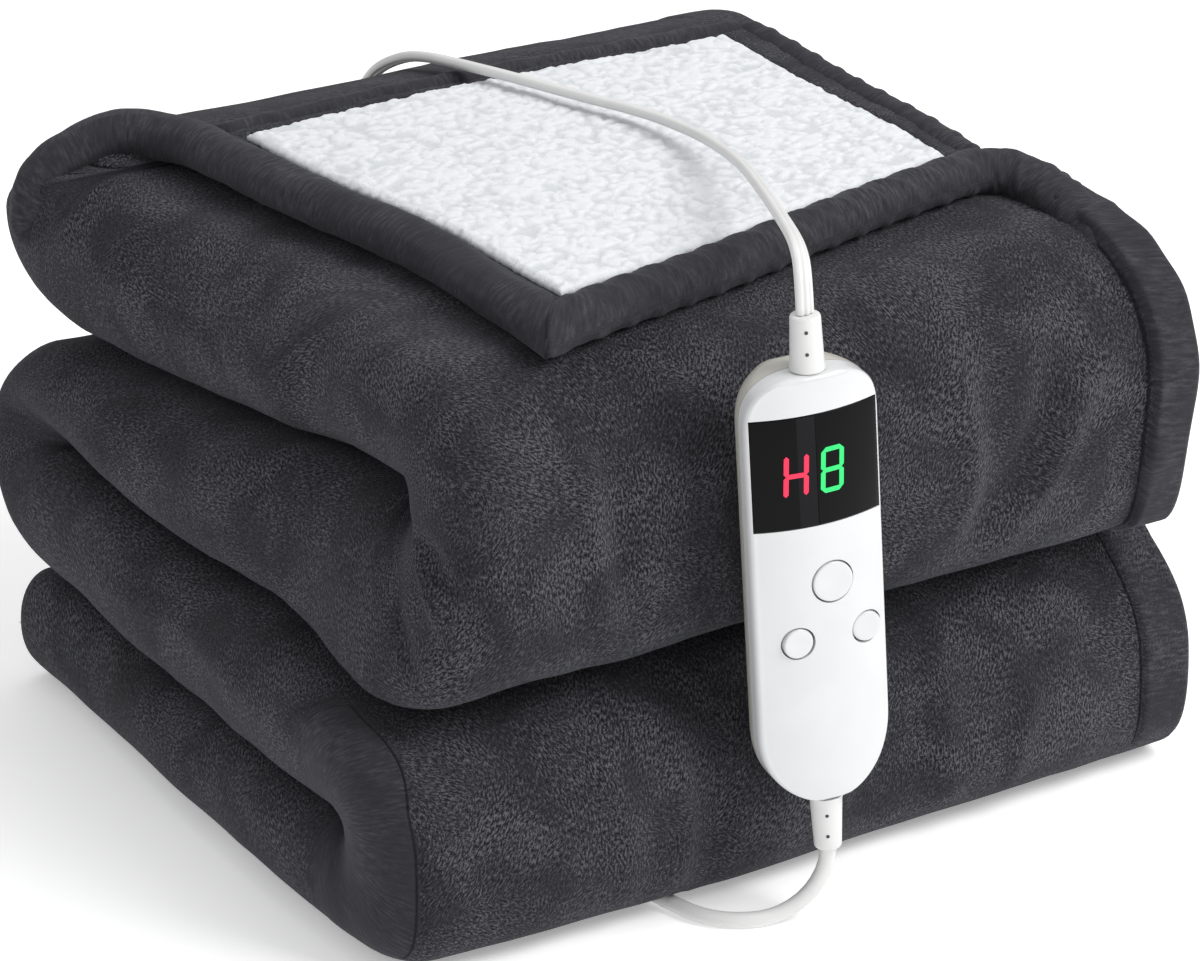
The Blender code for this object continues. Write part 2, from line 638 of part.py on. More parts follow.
def cut(target, bm, name, cutters):
    """Cut a closed mesh out of target with an exact boolean."""
    cutter = add_object(name, bm, material("cutter", (1, 0, 0), 0.5), cutters, smooth=False)
    cutter.hide_render = True
    cutter.display_type = "WIRE"
    modifier = target.modifiers.new(name, "BOOLEAN")
    modifier.operation = "DIFFERENCE"
    modifier.solver = "EXACT"
    modifier.object = cutter


def button_mesh(across, z, radius, front, back):
    """A cylinder square to the controller's face, from depth `front` to `back`."""
    facing = Matrix.Translation((across, 0, z)) @ Matrix.Rotation(-math.pi / 2, 4, "X")
    return cone_mesh(controller_frame() @ facing, front, back, radius, radius, 28)


def window_mesh(shrink, front, back):
    """A slab bowed like the face, `front` and `back` being its depths under the face."""
    frame = controller_frame()
    top = CONTROLLER_LENGTH / 2 - WINDOW_TOP - shrink
    low = top + 2 * shrink - WINDOW_HEIGHT
    half = CONTROLLER_HALF - WINDOW_MARGIN - shrink
    across = [half * k / 5 for k in range(-5, 6)]
    outline = [(x, crown(x) + front) for x in across] + [(x, crown(x) + back) for x in across[::-1]]
    bm = bmesh.new()
    loft(bm, [[frame @ Vector((x, y, z)) for x, y in outline] for z in (low, top)])
    return bm


def build_controller(collection, cutters):
    white = material("glossy white ABS", (0.85, 0.86, 0.87), 0.25)
    grey = material("pale grey ABS", (0.62, 0.62, 0.59), 0.35)
    black = material("black acrylic", (0.01, 0.01, 0.012), 0.08)
    housing("controller_back", back_section, grey, collection)
    front_shell = housing("controller_front", front_section, white, collection)
    cut(front_shell, window_mesh(0.0, -4.0 * MM, WINDOW_DEPTH), "window_pocket", cutters)
    add_object("display_window", window_mesh(GAP, -0.1 * MM, WINDOW_DEPTH - GAP), black, collection)
    top = CONTROLLER_LENGTH / 2
    for name, (across, down, radius) in BUTTONS.items():
        face = crown(abs(across)) - BUTTON_PROUD
        back = face + BUTTON_DEPTH
        well = button_mesh(across, top - down, radius + GAP, -4.0 * MM, back + BUTTON_TRAVEL + GAP)
        cut(front_shell, well, name + "_well", cutters)
        add_object(name, button_mesh(across, top - down, radius, face, back), white, collection)


def build_reliefs(collection):
    """Strain reliefs at the top and the foot of the controller."""
    white = material("white PVC", (0.80, 0.80, 0.80), 0.45)
    frame = controller_frame() @ Matrix.Translation((0, RELIEF_BEHIND, 0))
    start = CONTROLLER_LENGTH / 2 + GAP
    length, wide, narrow = RELIEF_TOP
    add_object("relief_top", cone_mesh(frame, start, start + length, wide, narrow), white, collection)
    length, wide, narrow = RELIEF_FOOT
    add_object("relief_foot", cone_mesh(frame, -start - length, -start, narrow, wide), white, collection)


# ---------------------------------------------------------------- the cords, coil and plug
def relief_exit(sign, beyond):
    """Point on a strain relief's axis, `beyond` past its outer end, in the stack's frame."""
    length = RELIEF_TOP[0] if sign > 0 else RELIEF_FOOT[0]
    local = Vector((0.0, RELIEF_BEHIND, sign * (CONTROLLER_LENGTH / 2 + GAP + length + GAP + beyond)))
    return tuple(controller_frame() @ local + ORIGIN)


def build_cords(collection):
    pvc = material("white PVC cord", (0.82, 0.82, 0.82), 0.5)
    lead = smooth_route((relief_exit(1, 3 * MM),) + LEAD_ROUTE, 0.012)
    tube("lead", [relief_exit(1, 0.0)] + lead, LEAD_WIDTH, pvc, collection)
    mains = smooth_route((relief_exit(-1, 3 * MM),) + MAINS_ROUTE, 0.008)
    tube("mains_cord", [relief_exit(-1, 0.0)] + mains, MAINS_DIAMETER, pvc, collection)
    tube("mains_tail", smooth_route(TAIL_ROUTE, 0.010), MAINS_DIAMETER, pvc, collection)


def build_coil(collection):
    """The stored length of mains cord as one ring of its outer shape."""
    pvc = material("white PVC cord", (0.82, 0.82, 0.82), 0.5)
    across, high = COIL_TURNS_ACROSS * MAINS_DIAMETER, COIL_LAYERS * MAINS_DIAMETER
    centre = Vector((*COIL_CENTRE, high / 2)) - ORIGIN
    bm = bmesh.new()
    bmesh.ops.create_cube(bm, size=1.0, matrix=Matrix.Diagonal((across, GAP, high, 1.0)))
    side = [f for f in bm.faces if f.normal.y < -0.5]
    bmesh.ops.delete(bm, geom=[f for f in bm.faces if f not in side], context="FACES")
    corners = [v for v in bm.verts if not v.link_faces]
    bmesh.ops.delete(bm, geom=corners, context="VERTS")
    bmesh.ops.bevel(bm, geom=bm.verts[:], offset=0.3 * high, segments=2, affect="VERTICES", profile=0.5)
    bmesh.ops.delete(bm, geom=bm.faces[:], context="FACES_ONLY")
    bmesh.ops.translate(bm, vec=centre + Vector((COIL_RADIUS, GAP / 2, 0)), verts=bm.verts)
    bmesh.ops.spin(bm, geom=bm.edges[:], cent=centre, axis=(0, 0, 1), angle=2 * math.pi, steps=36,
                   use_merge=True)
    add_object("mains_coil", bm, pvc, collection)


def build_plug(collection):
    """A plain two-blade plug at the tail's end, lying on its flat side."""
    pvc = material("white PVC", (0.80, 0.80, 0.80), 0.45)
    steel = material("nickel plated brass", (0.72, 0.70, 0.66), 0.28, 1.0)
    end = Vector(TAIL_ROUTE[-1])
    length, narrow, wide = PLUG_RELIEF
    along = Matrix.Translation(end - ORIGIN) @ Matrix.Rotation(math.pi / 2, 4, "Y")
    add_object("plug_relief", cone_mesh(along, GAP, GAP + length, narrow, wide), pvc, collection)
    body_start = end.x + 2 * GAP + length
    blade_start = body_start + PLUG_BODY[0] + GAP
    box("plug_body", (body_start + PLUG_BODY[0] / 2, end.y, end.z), PLUG_BODY, pvc, collection, 2.5 * MM)
    for side in (-1, 1):
        at = (blade_start + BLADE[0] / 2, end.y + side * BLADE_SPACING / 2, end.z)
        box(f"plug_blade_{'left' if side < 0 else 'right'}", at, BLADE, steel, collection, 0.3 * MM)


def main():
    for obj in list(bpy.data.objects):
        bpy.data.objects.remove(obj, do_unlink=True)
    collection = bpy.data.collections.new("Electric throw blanket")
    cutters = bpy.data.collections.new("Cutters")
    for c in (collection, cutters):
        bpy.context.scene.collection.children.link(c)
    build_throw(collection)
    build_panel(collection)
    build_controller(collection, cutters)
    build_reliefs(collection)
    build_cords(collection)
    build_coil(collection)
    build_plug(collection)


main()
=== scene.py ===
"""Looks of an electric heated throw, folded into a stack, with its hand controller and cords.

The stack is laid out in its own frame: x runs along the front folds from the left end, y runs from
the front folds to the back and z is up. ORIGIN takes that frame to the part's own. Sizes are in
metres unless a name says mm.
"""

import logging
import math
from dataclasses import dataclass, field
from enum import Enum
from typing import Any, Callable, ClassVar, Iterable, Iterator, Sequence

import bmesh
import bpy
import numpy as np
from mathutils import Matrix, Vector, noise


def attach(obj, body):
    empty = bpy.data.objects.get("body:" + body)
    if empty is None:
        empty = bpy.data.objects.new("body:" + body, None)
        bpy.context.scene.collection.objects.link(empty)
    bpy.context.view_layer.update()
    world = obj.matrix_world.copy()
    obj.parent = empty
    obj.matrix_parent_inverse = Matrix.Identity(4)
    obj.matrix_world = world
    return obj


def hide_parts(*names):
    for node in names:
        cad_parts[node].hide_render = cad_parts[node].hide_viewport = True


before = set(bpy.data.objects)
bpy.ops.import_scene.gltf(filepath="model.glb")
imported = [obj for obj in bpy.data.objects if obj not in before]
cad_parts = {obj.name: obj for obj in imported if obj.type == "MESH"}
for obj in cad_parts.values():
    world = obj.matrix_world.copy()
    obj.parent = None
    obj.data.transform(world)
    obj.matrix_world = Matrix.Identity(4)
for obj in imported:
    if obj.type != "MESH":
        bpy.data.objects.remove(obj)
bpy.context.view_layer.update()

LOG = logging.getLogger("heated_throw")
MM = 0.001
GAP = 0.3 * MM
ORIGIN = Vector((0.1463, 0.1271, 0.0))
ROOT = "throw_and_controller"
BETWEEN_POINTS = 12          # points read from a smooth curve between two of its own
ROUND_THE_FOLD = 1200        # fine steps round a fold, before its cuts are spaced evenly

Triple = tuple[float, float, float]
Skin = tuple[bmesh.types.BMesh, list[list[bmesh.types.BMVert]]]


# ------------------------------------------------------------------------------ small helpers
def lerp(a: float, b: float, t: float) -> float:
    """Return the value a share t of the way from a to b."""
    return a + (b - a) * t


def smooth(t: float) -> float:
    """Return an even rise from 0 to 1 as t goes from 0 to 1."""
    t = min(max(t, 0.0), 1.0)
    return t * t * (3 - 2 * t)


def linear(hex_colour: str) -> tuple[float, float, float, float]:
    """Turn an sRGB hex colour into linear RGBA.

    Args:
        hex_colour: Six hex digits after a hash sign.

    Returns:
        The linear red, green, blue and an alpha of one.
    """
    channels = [int(hex_colour[i:i + 2], 16) / 255 for i in (1, 3, 5)]
    rgb = [c / 12.92 if c <= 0.04045 else ((c + 0.055) / 1.055) ** 2.4 for c in channels]
    return (*rgb, 1.0)


def distances(points: Sequence[Vector]) -> list[float]:
    """Return how far along a row of points each one lies."""
    out = [0.0]
    for a, b in zip(points, points[1:]):
        out.append(out[-1] + (b - a).length)
    return out


def even_places(lengths: Sequence[float], count: int) -> Iterator[tuple[int, float]]:
    """Find even steps along a row of points.

    Args:
        lengths: How far along each point lies.
        count: Number of steps.

    Yields:
        For each step, the index of the point before it and its share of the way to the next.
    """
    j = 0
    for k in range(count + 1):
        want = lengths[-1] * k / count
        while j < len(lengths) - 2 and lengths[j + 1] < want:
            j += 1
        step = lengths[j + 1] - lengths[j]
        yield j, (want - lengths[j]) / step if step else 0.0


def smooth_route(points: Sequence[Sequence[float]], spacing: float) -> list[Vector]:
    """Read points every `spacing` from a smooth curve through the given ones.

    Args:
        points: The route's own points.
        spacing: Distance between the points returned.

    Returns:
        The points of the smooth curve, its two ends among them.
    """
    pts = [Vector(p) for p in points]
    dense = []
    for i in range(len(pts) - 1):
        p0 = pts[i - 1] if i else pts[0] * 2 - pts[1]
        p1, p2 = pts[i], pts[i + 1]
        p3 = pts[i + 2] if i + 2 < len(pts) else p2 * 2 - p1
        for k in range(BETWEEN_POINTS):
            t = k / BETWEEN_POINTS
            dense.append(0.5 * ((2 * p1) + (p2 - p0) * t + (2 * p0 - 5 * p1 + 4 * p2 - p3) * t ** 2
                                + (3 * p1 - p0 - 3 * p2 + p3) * t ** 3))
    dense.append(pts[-1])
    lengths = distances(dense)
    count = max(2, round(lengths[-1] / spacing))
    return [dense[j].lerp(dense[j + 1], share) for j, share in even_places(lengths, count)]


def link(name: str, data: bpy.types.ID) -> bpy.types.Object:
    """Return a new object of some data, linked to the scene."""
    obj = bpy.data.objects.new(name, data)
    bpy.context.scene.collection.objects.link(obj)
    return obj


def finish_mesh(name: str, bm: bmesh.types.BMesh, material: bpy.types.Material, body: str = ROOT,
                soft_edges: float = 180.0) -> bpy.types.Object:
    """Turn a bmesh into a finished piece that rides on a body.

    Args:
        name: The piece's name.
        bm: Its mesh, in the part's frame; it is freed.
        material: Its finish.
        body: The body that it rides on.
        soft_edges: Edges up to this angle in degrees are shaded smooth.

    Returns:
        The new object.
    """
    mesh = bpy.data.meshes.new(name)
    bm.to_mesh(mesh)
    bm.free()
    mesh.materials.append(material)
    mesh.shade_smooth()
    if soft_edges < 180.0:
        mesh.set_sharp_from_angle(angle=math.radians(soft_edges))
    obj = link(name, mesh)
    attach(obj, body)
    LOG.info("%s: %d faces", name, len(mesh.polygons))
    return obj


def grid_skin(columns: int, rows: int, at: Callable[[int, int], Sequence[float]],
              layers: Sequence[str] = ()) -> Skin:
    """Shape a grid into a skin.

    Args:
        columns: Points across each row.
        rows: Number of rows.
        at: Gives the place of the point at (row, column).
        layers: Names of value layers that the vertices get.

    Returns:
        The bmesh and its vertices as rows of columns.
    """
    bm = bmesh.new()
    for layer in layers:
        bm.verts.layers.float.new(layer)
    bm.loops.layers.uv.new("cloth")
    bmesh.ops.create_grid(bm, x_segments=columns - 1, y_segments=rows - 1, size=0.5)
    verts = sorted(bm.verts, key=lambda v: (round((v.co.y + 0.5) * (rows - 1)),
                                            round((v.co.x + 0.5) * (columns - 1))))
    table = [verts[r * columns:(r + 1) * columns] for r in range(rows)]
    for r, row in enumerate(table):
        for c, v in enumerate(row):
            v.co = at(r, c)
    return bm, table


def cap(bm: bmesh.types.BMesh, ring: Sequence[bmesh.types.BMVert]) -> None:
    """Close an open end of a skin with triangles."""
    face = bmesh.ops.contextual_create(bm, geom=list(ring))["faces"]
    for f in face:
        f.normal_update()
    bmesh.ops.triangulate(bm, faces=face, ngon_method="EAR_CLIP")


def outward(bm: bmesh.types.BMesh) -> None:
    """Point all faces of a closed mesh outwards."""
    bmesh.ops.recalc_face_normals(bm, faces=bm.faces)


def tube(rings: Sequence[Sequence[Vector]], layers: Sequence[str] = ()) -> Skin:
    """Shape a closed tube through rings of points.

    Args:
        rings: Its cuts, with as many points each.
        layers: Names of value layers that the vertices get.

    Returns:
        The bmesh and its vertices by ring.
    """
    bm, table = grid_skin(len(rings[0]), len(rings), lambda r, c: rings[r][c], layers)
    seams = [[bm.edges.get((a[side], b[side])) for a, b in zip(table, table[1:])] for side in (-1, 0)]
    bmesh.ops.bridge_loops(bm, edges=seams[0] + seams[1])
    cap(bm, table[0])
    cap(bm, table[-1])
    outward(bm)
    return bm, table


def lay_map(bm: bmesh.types.BMesh, places: dict[bmesh.types.BMVert, tuple[float, float]]) -> None:
    """Lay the cloth's UV map over a skin, given each vertex's place on it."""
    layer = bm.loops.layers.uv["cloth"]
    for face in bm.faces:
        for loop in face.loops:
            loop[layer].uv = places[loop.vert]


def add_box(bm: bmesh.types.BMesh, size: Triple,
            centre: Triple = (0.0, 0.0, 0.0)) -> list[bmesh.types.BMVert]:
    """Add a box to a mesh and return its vertices."""
    made = bmesh.ops.create_cube(bm, size=1.0)["verts"]
    bmesh.ops.transform(bm, matrix=Matrix.Translation(centre) @ Matrix.Diagonal((*size, 1.0)), verts=made)
    return made


def slice_across(bm: bmesh.types.BMesh, half: float, count: int) -> None:
    """Cut a mesh from -half to half in x into even slices, so that it can be bent."""
    for k in range(1, count):
        bmesh.ops.bisect_plane(bm, geom=bm.verts[:] + bm.edges[:] + bm.faces[:],
                               plane_co=(lerp(-half, half, k / count), 0, 0), plane_no=(1, 0, 0))


def round_edges(bm: bmesh.types.BMesh, edges: Sequence[bmesh.types.BMEdge], offset: float,
                segments: int) -> None:
    """Bevel some edges of a mesh."""
    bmesh.ops.bevel(bm, geom=edges, offset=offset, segments=segments, profile=0.5, affect="EDGES",
                    material=-1)


# ------------------------------------------------------------------------------ finishes
Colour = tuple[float, float, float, float]
Socket = bpy.types.NodeSocket
Tree = bpy.types.NodeTree


def new_material(name: str) -> tuple[bpy.types.Material, Tree, bpy.types.Node]:
    """Return a new material, its node tree and its Principled shader."""
    mat = bpy.data.materials.new(name)
    mat.use_nodes = True
    return mat, mat.node_tree, mat.node_tree.nodes["Principled BSDF"]


def feed(tree: Tree, node: bpy.types.Node, inputs: dict[str | int, Any]) -> None:
    """Give a node's inputs, by name or index, their constants or the sockets that feed them."""
    for key, value in inputs.items():
        if isinstance(value, Socket):
            tree.links.new(value, node.inputs[key])
        else:
            node.inputs[key].default_value = value


def add_node(tree: Tree, kind: str, inputs: dict[str | int, Any] | None = None,
             **settings: Any) -> bpy.types.NodeOutputs:
    """Add a node.

    Args:
        tree: The node tree.
        kind: The node's type name, after ShaderNode.
        inputs: A constant or a socket for each input that is set.
        settings: Attributes to set on the node.

    Returns:
        The new node's outputs.
    """
    node = tree.nodes.new("ShaderNode" + kind)
    for key, value in settings.items():
        setattr(node, key, value)
    feed(tree, node, inputs or {})
    return node.outputs


def maths(tree: Tree, operation: str, *terms: Any) -> Socket:
    """Return an operation's result on numbers or sockets."""
    return add_node(tree, "Math", dict(enumerate(terms)), operation=operation)[0]


def span(tree: Tree, value: Socket, source: tuple[float, float], target: tuple[float, float]) -> Socket:
    """Return a value moved from one range to another, and held inside it."""
    return add_node(tree, "MapRange", {"Value": value, "From Min": source[0], "From Max": source[1],
                                       "To Min": target[0], "To Max": target[1]})["Result"]


def grain(tree: Tree, at: Socket, scale: float, detail: float, roughness: float = 0.5,
          distortion: float = 0.0, flat: bool = False) -> bpy.types.NodeOutputs:
    """Return the outputs of a noise.

    Args:
        tree: The node tree.
        at: The coordinates that it is read at.
        scale: Its cells in a unit of these coordinates.
        detail: How many finer layers it has.
        roughness: How strong the finer layers are.
        distortion: How far it is warped.
        flat: Read it in two dimensions.

    Returns:
        The noise's value and colour.
    """
    return add_node(tree, "TexNoise", {"Vector": at, "Scale": scale, "Detail": detail,
                                       "Roughness": roughness, "Distortion": distortion},
                    noise_dimensions="2D" if flat else "3D")


def bumped(tree: Tree, height: Socket, strength: float, distance: float) -> Socket:
    """Return the normal of a surface raised by a height times a distance in metres."""
    return add_node(tree, "Bump", {"Height": height, "Strength": strength, "Distance": distance})["Normal"]


def ramp(tree: Tree, source: Socket, *stops: tuple[float, Colour]) -> Socket:
    """Return the colour that a value has on a ramp, given as the place and colour of each stop."""
    outputs = add_node(tree, "ValToRGB", {"Fac": source})
    elements = outputs[0].node.color_ramp.elements
    while len(elements) < len(stops):
        elements.new(0.5)
    for element, (position, colour) in zip(elements, stops):
        element.position = position
        element.color = colour
    return outputs["Color"]


class Nap(Enum):
    """How much of the pile's grain shows."""

    BRUSHED = 1.0
    HEM = 0.55


@dataclass(frozen=True)
class Flannel:
    """Brushed polyester flannel: short pile that lies in fine dashes, with painted sheen: lighter patches where
    the nap catches light, laid into its colour.
    """

    name: str = "brushed charcoal flannel"
    shadow: str = "#0e0e10"
    middle: str = "#2b2b2f"
    light: str = "#59595f"
    hem: str = "#3d3d42"
    # the seam's thread and the painted shade along it
    thread_and_shade: str = "#0c0c0f"
    sheen: str = "#c4c4cc"
    dash_mm: tuple[float, float] = (0.70, 1.7)
    ruche_mm: tuple[float, float] = (1.2, 6.0)
    grain_mm: float = 0.5
    painted_sheen_mm: float = 24.0
    cloud_mm: float = 46.0
    bump_mm: float = 0.75
    seam_mm: tuple[float, float] = (0.15, 0.55)
    pile_turns: Triple = (0.10, -0.55, 1.05)
    ruche_turns: tuple[float, float] = (1.45, 0.22)

    def dashes(self, tree: Tree, mm: Socket, turn: float, size: tuple[float, float], detail: float) -> Socket:
        """Return a noise of short dashes.

        Args:
            tree: The node tree.
            mm: The cloth's coordinates in millimetres.
            turn: How far the dashes lean from upright, in radians.
            size: Their width and length in millimetres.
            detail: The noise's detail.

        Returns:
            The noise's value.
        """
        turned = add_node(tree, "VectorRotate", {"Angle": turn, "Vector": mm}, rotation_type="Z_AXIS")["Vector"]
        stretched = add_node(tree, "VectorMath", {1: (1 / size[0], 1 / size[1], 1.0), 0: turned},
                             operation="MULTIPLY")["Vector"]
        return grain(tree, stretched, 1.0, detail, 0.6, flat=True)["Fac"]

    def build(self) -> bpy.types.Material:
        """Return the material; it reads the cloth's own UV map, in metres."""
        mat, tree, shader = new_material(self.name)

        def blend(factor: Socket, first: Socket, second: Socket) -> Socket:
            """Return a value between two others."""
            return add_node(tree, "Mix", {"Factor": factor, "A": first, "B": second})[0]

        def tint(factor: Socket, first: Any, second: Any) -> Socket:
            """Return a colour between two others."""
            inputs = {"Factor": factor, "A": first, "B": second}
            return add_node(tree, "Mix", inputs, data_type="RGBA")["Result"]

        uv = add_node(tree, "UVMap", uv_map="cloth")["UV"]
        mm = add_node(tree, "VectorMath", {0: uv, "Scale": 1000.0}, operation="SCALE")["Vector"]
        hem, across, edge = (add_node(tree, "Attribute", attribute_name=name)["Fac"]
                             for name in ("hem", "across", "edge"))
        # painted sheen: soft patches that lighten the colour and sharpen the grain where the nap would catch
        # the light
        painted_sheen = grain(tree, mm, 1 / self.painted_sheen_mm, 3.0, 0.55, 0.4, flat=True)["Fac"]
        cloud = grain(tree, mm, 1 / self.cloud_mm, 2.0, flat=True)["Color"]
        parts = add_node(tree, "SeparateColor", {"Color": cloud})
        # the pile leans one way in one patch and another way in the next
        upright, leaning, lying = (self.dashes(tree, mm, turn, self.dash_mm, 2.0) for turn in self.pile_turns)
        pile = blend(span(tree, parts["Red"], (0.42, 0.58), (0.0, 1.0)), upright, leaning)
        pile = blend(span(tree, parts["Green"], (0.56, 0.66), (0.0, 0.8)), pile, lying)
        # hems are smoother and finely gathered across their own length
        ruches = [self.dashes(tree, mm, turn, self.ruche_mm, 1.0) for turn in self.ruche_turns]
        pile = blend(maths(tree, "MULTIPLY", hem, 0.75), pile, blend(across, *ruches))
        calm = span(tree, hem, (0.0, 1.0), (Nap.BRUSHED.value, Nap.HEM.value))
        strength = maths(tree, "MULTIPLY", span(tree, painted_sheen, (0.35, 0.65), (0.55, 1.1)), calm)
        specks = grain(tree, mm, 1 / self.grain_mm, 1.0, 0.6, flat=True)["Fac"]
        centred = maths(tree, "SUBTRACT", maths(tree, "MULTIPLY_ADD", specks, 0.35, pile), 0.675)
        fine = maths(tree, "MULTIPLY", centred, strength)
        tone = maths(tree, "MULTIPLY_ADD", fine, 2.5, span(tree, painted_sheen, (0.3, 0.7), (0.38, 0.56)))
        tone = maths(tree, "SUBTRACT", maths(tree, "MULTIPLY_ADD", parts["Blue"], 0.18, tone), 0.09)
        middle = linear(self.middle)
        body = ramp(tree, tone, (0.05, linear(self.shadow)), (0.45, middle), (0.95, linear(self.light)))
        smoother = ramp(tree, tone, (0.0, middle), (1.0, linear(self.hem)))
        cloth = tint(maths(tree, "MULTIPLY", hem, 0.7), body, smoother)
        # a stitched seam at a hem's foot, painted near-black: thread, and painted shade in its groove and under
        # the hem's step
        seam = span(tree, maths(tree, "ABSOLUTE", edge), self.seam_mm, (1.0, 0.0))
        sewn_and_shaded = tint(maths(tree, "MULTIPLY", seam, 0.75), cloth, linear(self.thread_and_shade))
        height = maths(tree, "MULTIPLY_ADD", seam, -1.2, maths(tree, "MULTIPLY", fine, calm))
        feed(tree, shader, {"Base Color": sewn_and_shaded, "Normal": bumped(tree, height, 0.8, self.bump_mm * MM),
                            "Roughness": 0.95, "Specular IOR Level": 0.15, "Sheen Weight": 0.12,
                            "Sheen Roughness": 0.5, "Sheen Tint": linear(self.sheen)})
        return mat


@dataclass(frozen=True)
class Sherpa:
    """Curly white polyester sherpa: small woolly curls, with painted grey shade in the hollows between them."""

    name: str = "white sherpa pile"
    crest: str = "#e0e2e5"
    hollow_shade: str = "#c0c4c8"
    curl_mm: float = 3.4

    def build(self) -> bpy.types.Material:
        """Return the material; it reads Object coordinates."""
        mat, tree, shader = new_material(self.name)
        at = add_node(tree, "TexCoord")["Object"]
        depth = add_node(tree, "Attribute", attribute_name="curl")["Fac"]
        fine = grain(tree, at, 1000 / (0.4 * self.curl_mm), 3.0, 0.65, 1.2)["Fac"]
        tone = maths(tree, "MULTIPLY_ADD", fine, 0.5, depth)
        # painted shade: the lower a curl's surface, the greyer its colour
        colour = ramp(tree, tone, (0.20, linear(self.hollow_shade)), (0.80, linear(self.crest)))
        feed(tree, shader, {"Base Color": colour, "Normal": bumped(tree, fine, 0.6, 0.5 * MM),
                            "Roughness": 0.95, "Specular IOR Level": 0.2, "Sheen Weight": 0.3,
                            "Subsurface Weight": 0.12, "Subsurface Radius": (0.004, 0.004, 0.004)})
        return mat


@dataclass(frozen=True)
class MouldedPlastic:
    """Injection moulded plastic: even colour, a clear gloss and a faint waviness of the skin."""

    name: str
    colour: str
    roughness: float
    coat: float = 0.0
    grain_mm: float = 0.6
    bump_mm: float = 0.01

    def build(self) -> bpy.types.Material:
        """Return the material; it reads Object coordinates."""
        mat, tree, shader = new_material(self.name)
        at = add_node(tree, "TexCoord")["Object"]
        base = linear(self.colour)
        darker = tuple(c * 0.965 for c in base[:3]) + (1.0,)
        colour = ramp(tree, grain(tree, at, 60.0, 2.0)["Fac"], (0.35, darker), (0.65, base))
        skin = grain(tree, at, 1000 / self.grain_mm, 2.0)["Fac"]
        gloss = span(tree, skin, (0.0, 1.0), (self.roughness * 0.9, self.roughness * 1.12))
        feed(tree, shader, {"Base Color": colour, "Roughness": gloss, "IOR": 1.5,
                            "Normal": bumped(tree, skin, 0.5, self.bump_mm * MM),
                            "Coat Weight": self.coat, "Coat Roughness": 0.08})
        return mat


@dataclass(frozen=True)
class SmokedAcrylic:
    """Black acrylic: polished, so it stays deep black and mirrors only faintly."""

    name: str
    colour: str
    roughness: float = 0.22

    def build(self) -> bpy.types.Material:
        """Return the material; it reads Object coordinates."""
        mat, tree, shader = new_material(self.name)
        haze = grain(tree, add_node(tree, "TexCoord")["Object"], 90.0, 3.0)["Fac"]
        gloss = span(tree, haze, (0.0, 1.0), (self.roughness * 0.8, self.roughness * 1.2))
        feed(tree, shader, {"Base Color": linear(self.colour), "Roughness": gloss, "Specular IOR Level": 0.10})
        return mat


@dataclass(frozen=True)
class Glow:
    """A lit display segment: a coloured light behind smoked acrylic."""

    name: str
    colour: str
    strength: float = 1.0

    def build(self) -> bpy.types.Material:
        """Return the material."""
        mat, tree, shader = new_material(self.name)
        feed(tree, shader, {"Base Color": linear(self.colour), "Emission Color": linear(self.colour),
                            "Emission Strength": self.strength, "Roughness": 0.35})
        return mat


@dataclass(frozen=True)
class PlatedMetal:
    """Nickel plated brass: bright, with fine drawing lines along the blade."""

    name: str = "nickel plated brass"
    colour: str = "#cfcac0"
    line_scale: Triple = (60.0, 2500.0, 2500.0)

    def build(self) -> bpy.types.Material:
        """Return the material; it reads Object coordinates."""
        mat, tree, shader = new_material(self.name)
        at = add_node(tree, "TexCoord")["Object"]
        drawn = add_node(tree, "Mapping", {"Scale": self.line_scale, "Vector": at})["Vector"]
        gloss = span(tree, grain(tree, drawn, 1.0, 3.0)["Fac"], (0.0, 1.0), (0.2, 0.36))
        feed(tree, shader, {"Base Color": linear(self.colour), "Roughness": gloss, "Metallic": 1.0})
        return mat


# ------------------------------------------------------------------------------ the folded throw
@dataclass
class Station:
    """One cut across the fold: where its two faces are, and the ends of the cloth."""

    place: str                   # the pass or fold that it cuts
    along: float                 # its depth in a pass, or its angle round a fold
    one: Vector                  # outer face of ply one, as depth and height
    four: Vector                 # outer face of ply four
    left: float = 0.0
    right: float = 0.0
    skew: float = 0.0            # slant of the flap's cuts
    toward_front: float = 0.0
    rim: float = 0.0             # rise of the rolled rim at the right
    rim_in: float = 0.0          # how much narrower than a hem that rim is
    border_left: float = 0.0     # rise of the flap's borders
    border_right: float = 0.0
    border_all: float = 0.0
    roll_power: float = 2.0      # squareness of the left roll, on ply four's side
    under_power: float = 2.0     # and on ply one's side
    pinch: float = 1.0           # share of full thickness, at the free ends
    ply_share: float = 0.0
    travel: float = 0.0          # distance along the fold


@dataclass
class Crease:
    """A soft trough or ridge laid on the cloth, in the stack's frame."""

    points: Sequence[Triple]
    width: float
    height: float                # positive for a ridge, negative for a trough


@dataclass(frozen=True)
class Nudge:
    """A soft push on all the cloth near a place, in the stack's frame."""

    centre: Triple
    reach: Triple
    shift: Triple

    def move(self, p: Vector) -> Vector:
        """Return the point p after the push."""
        weight = 1.0
        for value, middle, reach in zip(p, self.centre, self.reach):
            weight *= 1 - smooth(abs(value - middle) / reach)
        return p + Vector(self.shift) * weight


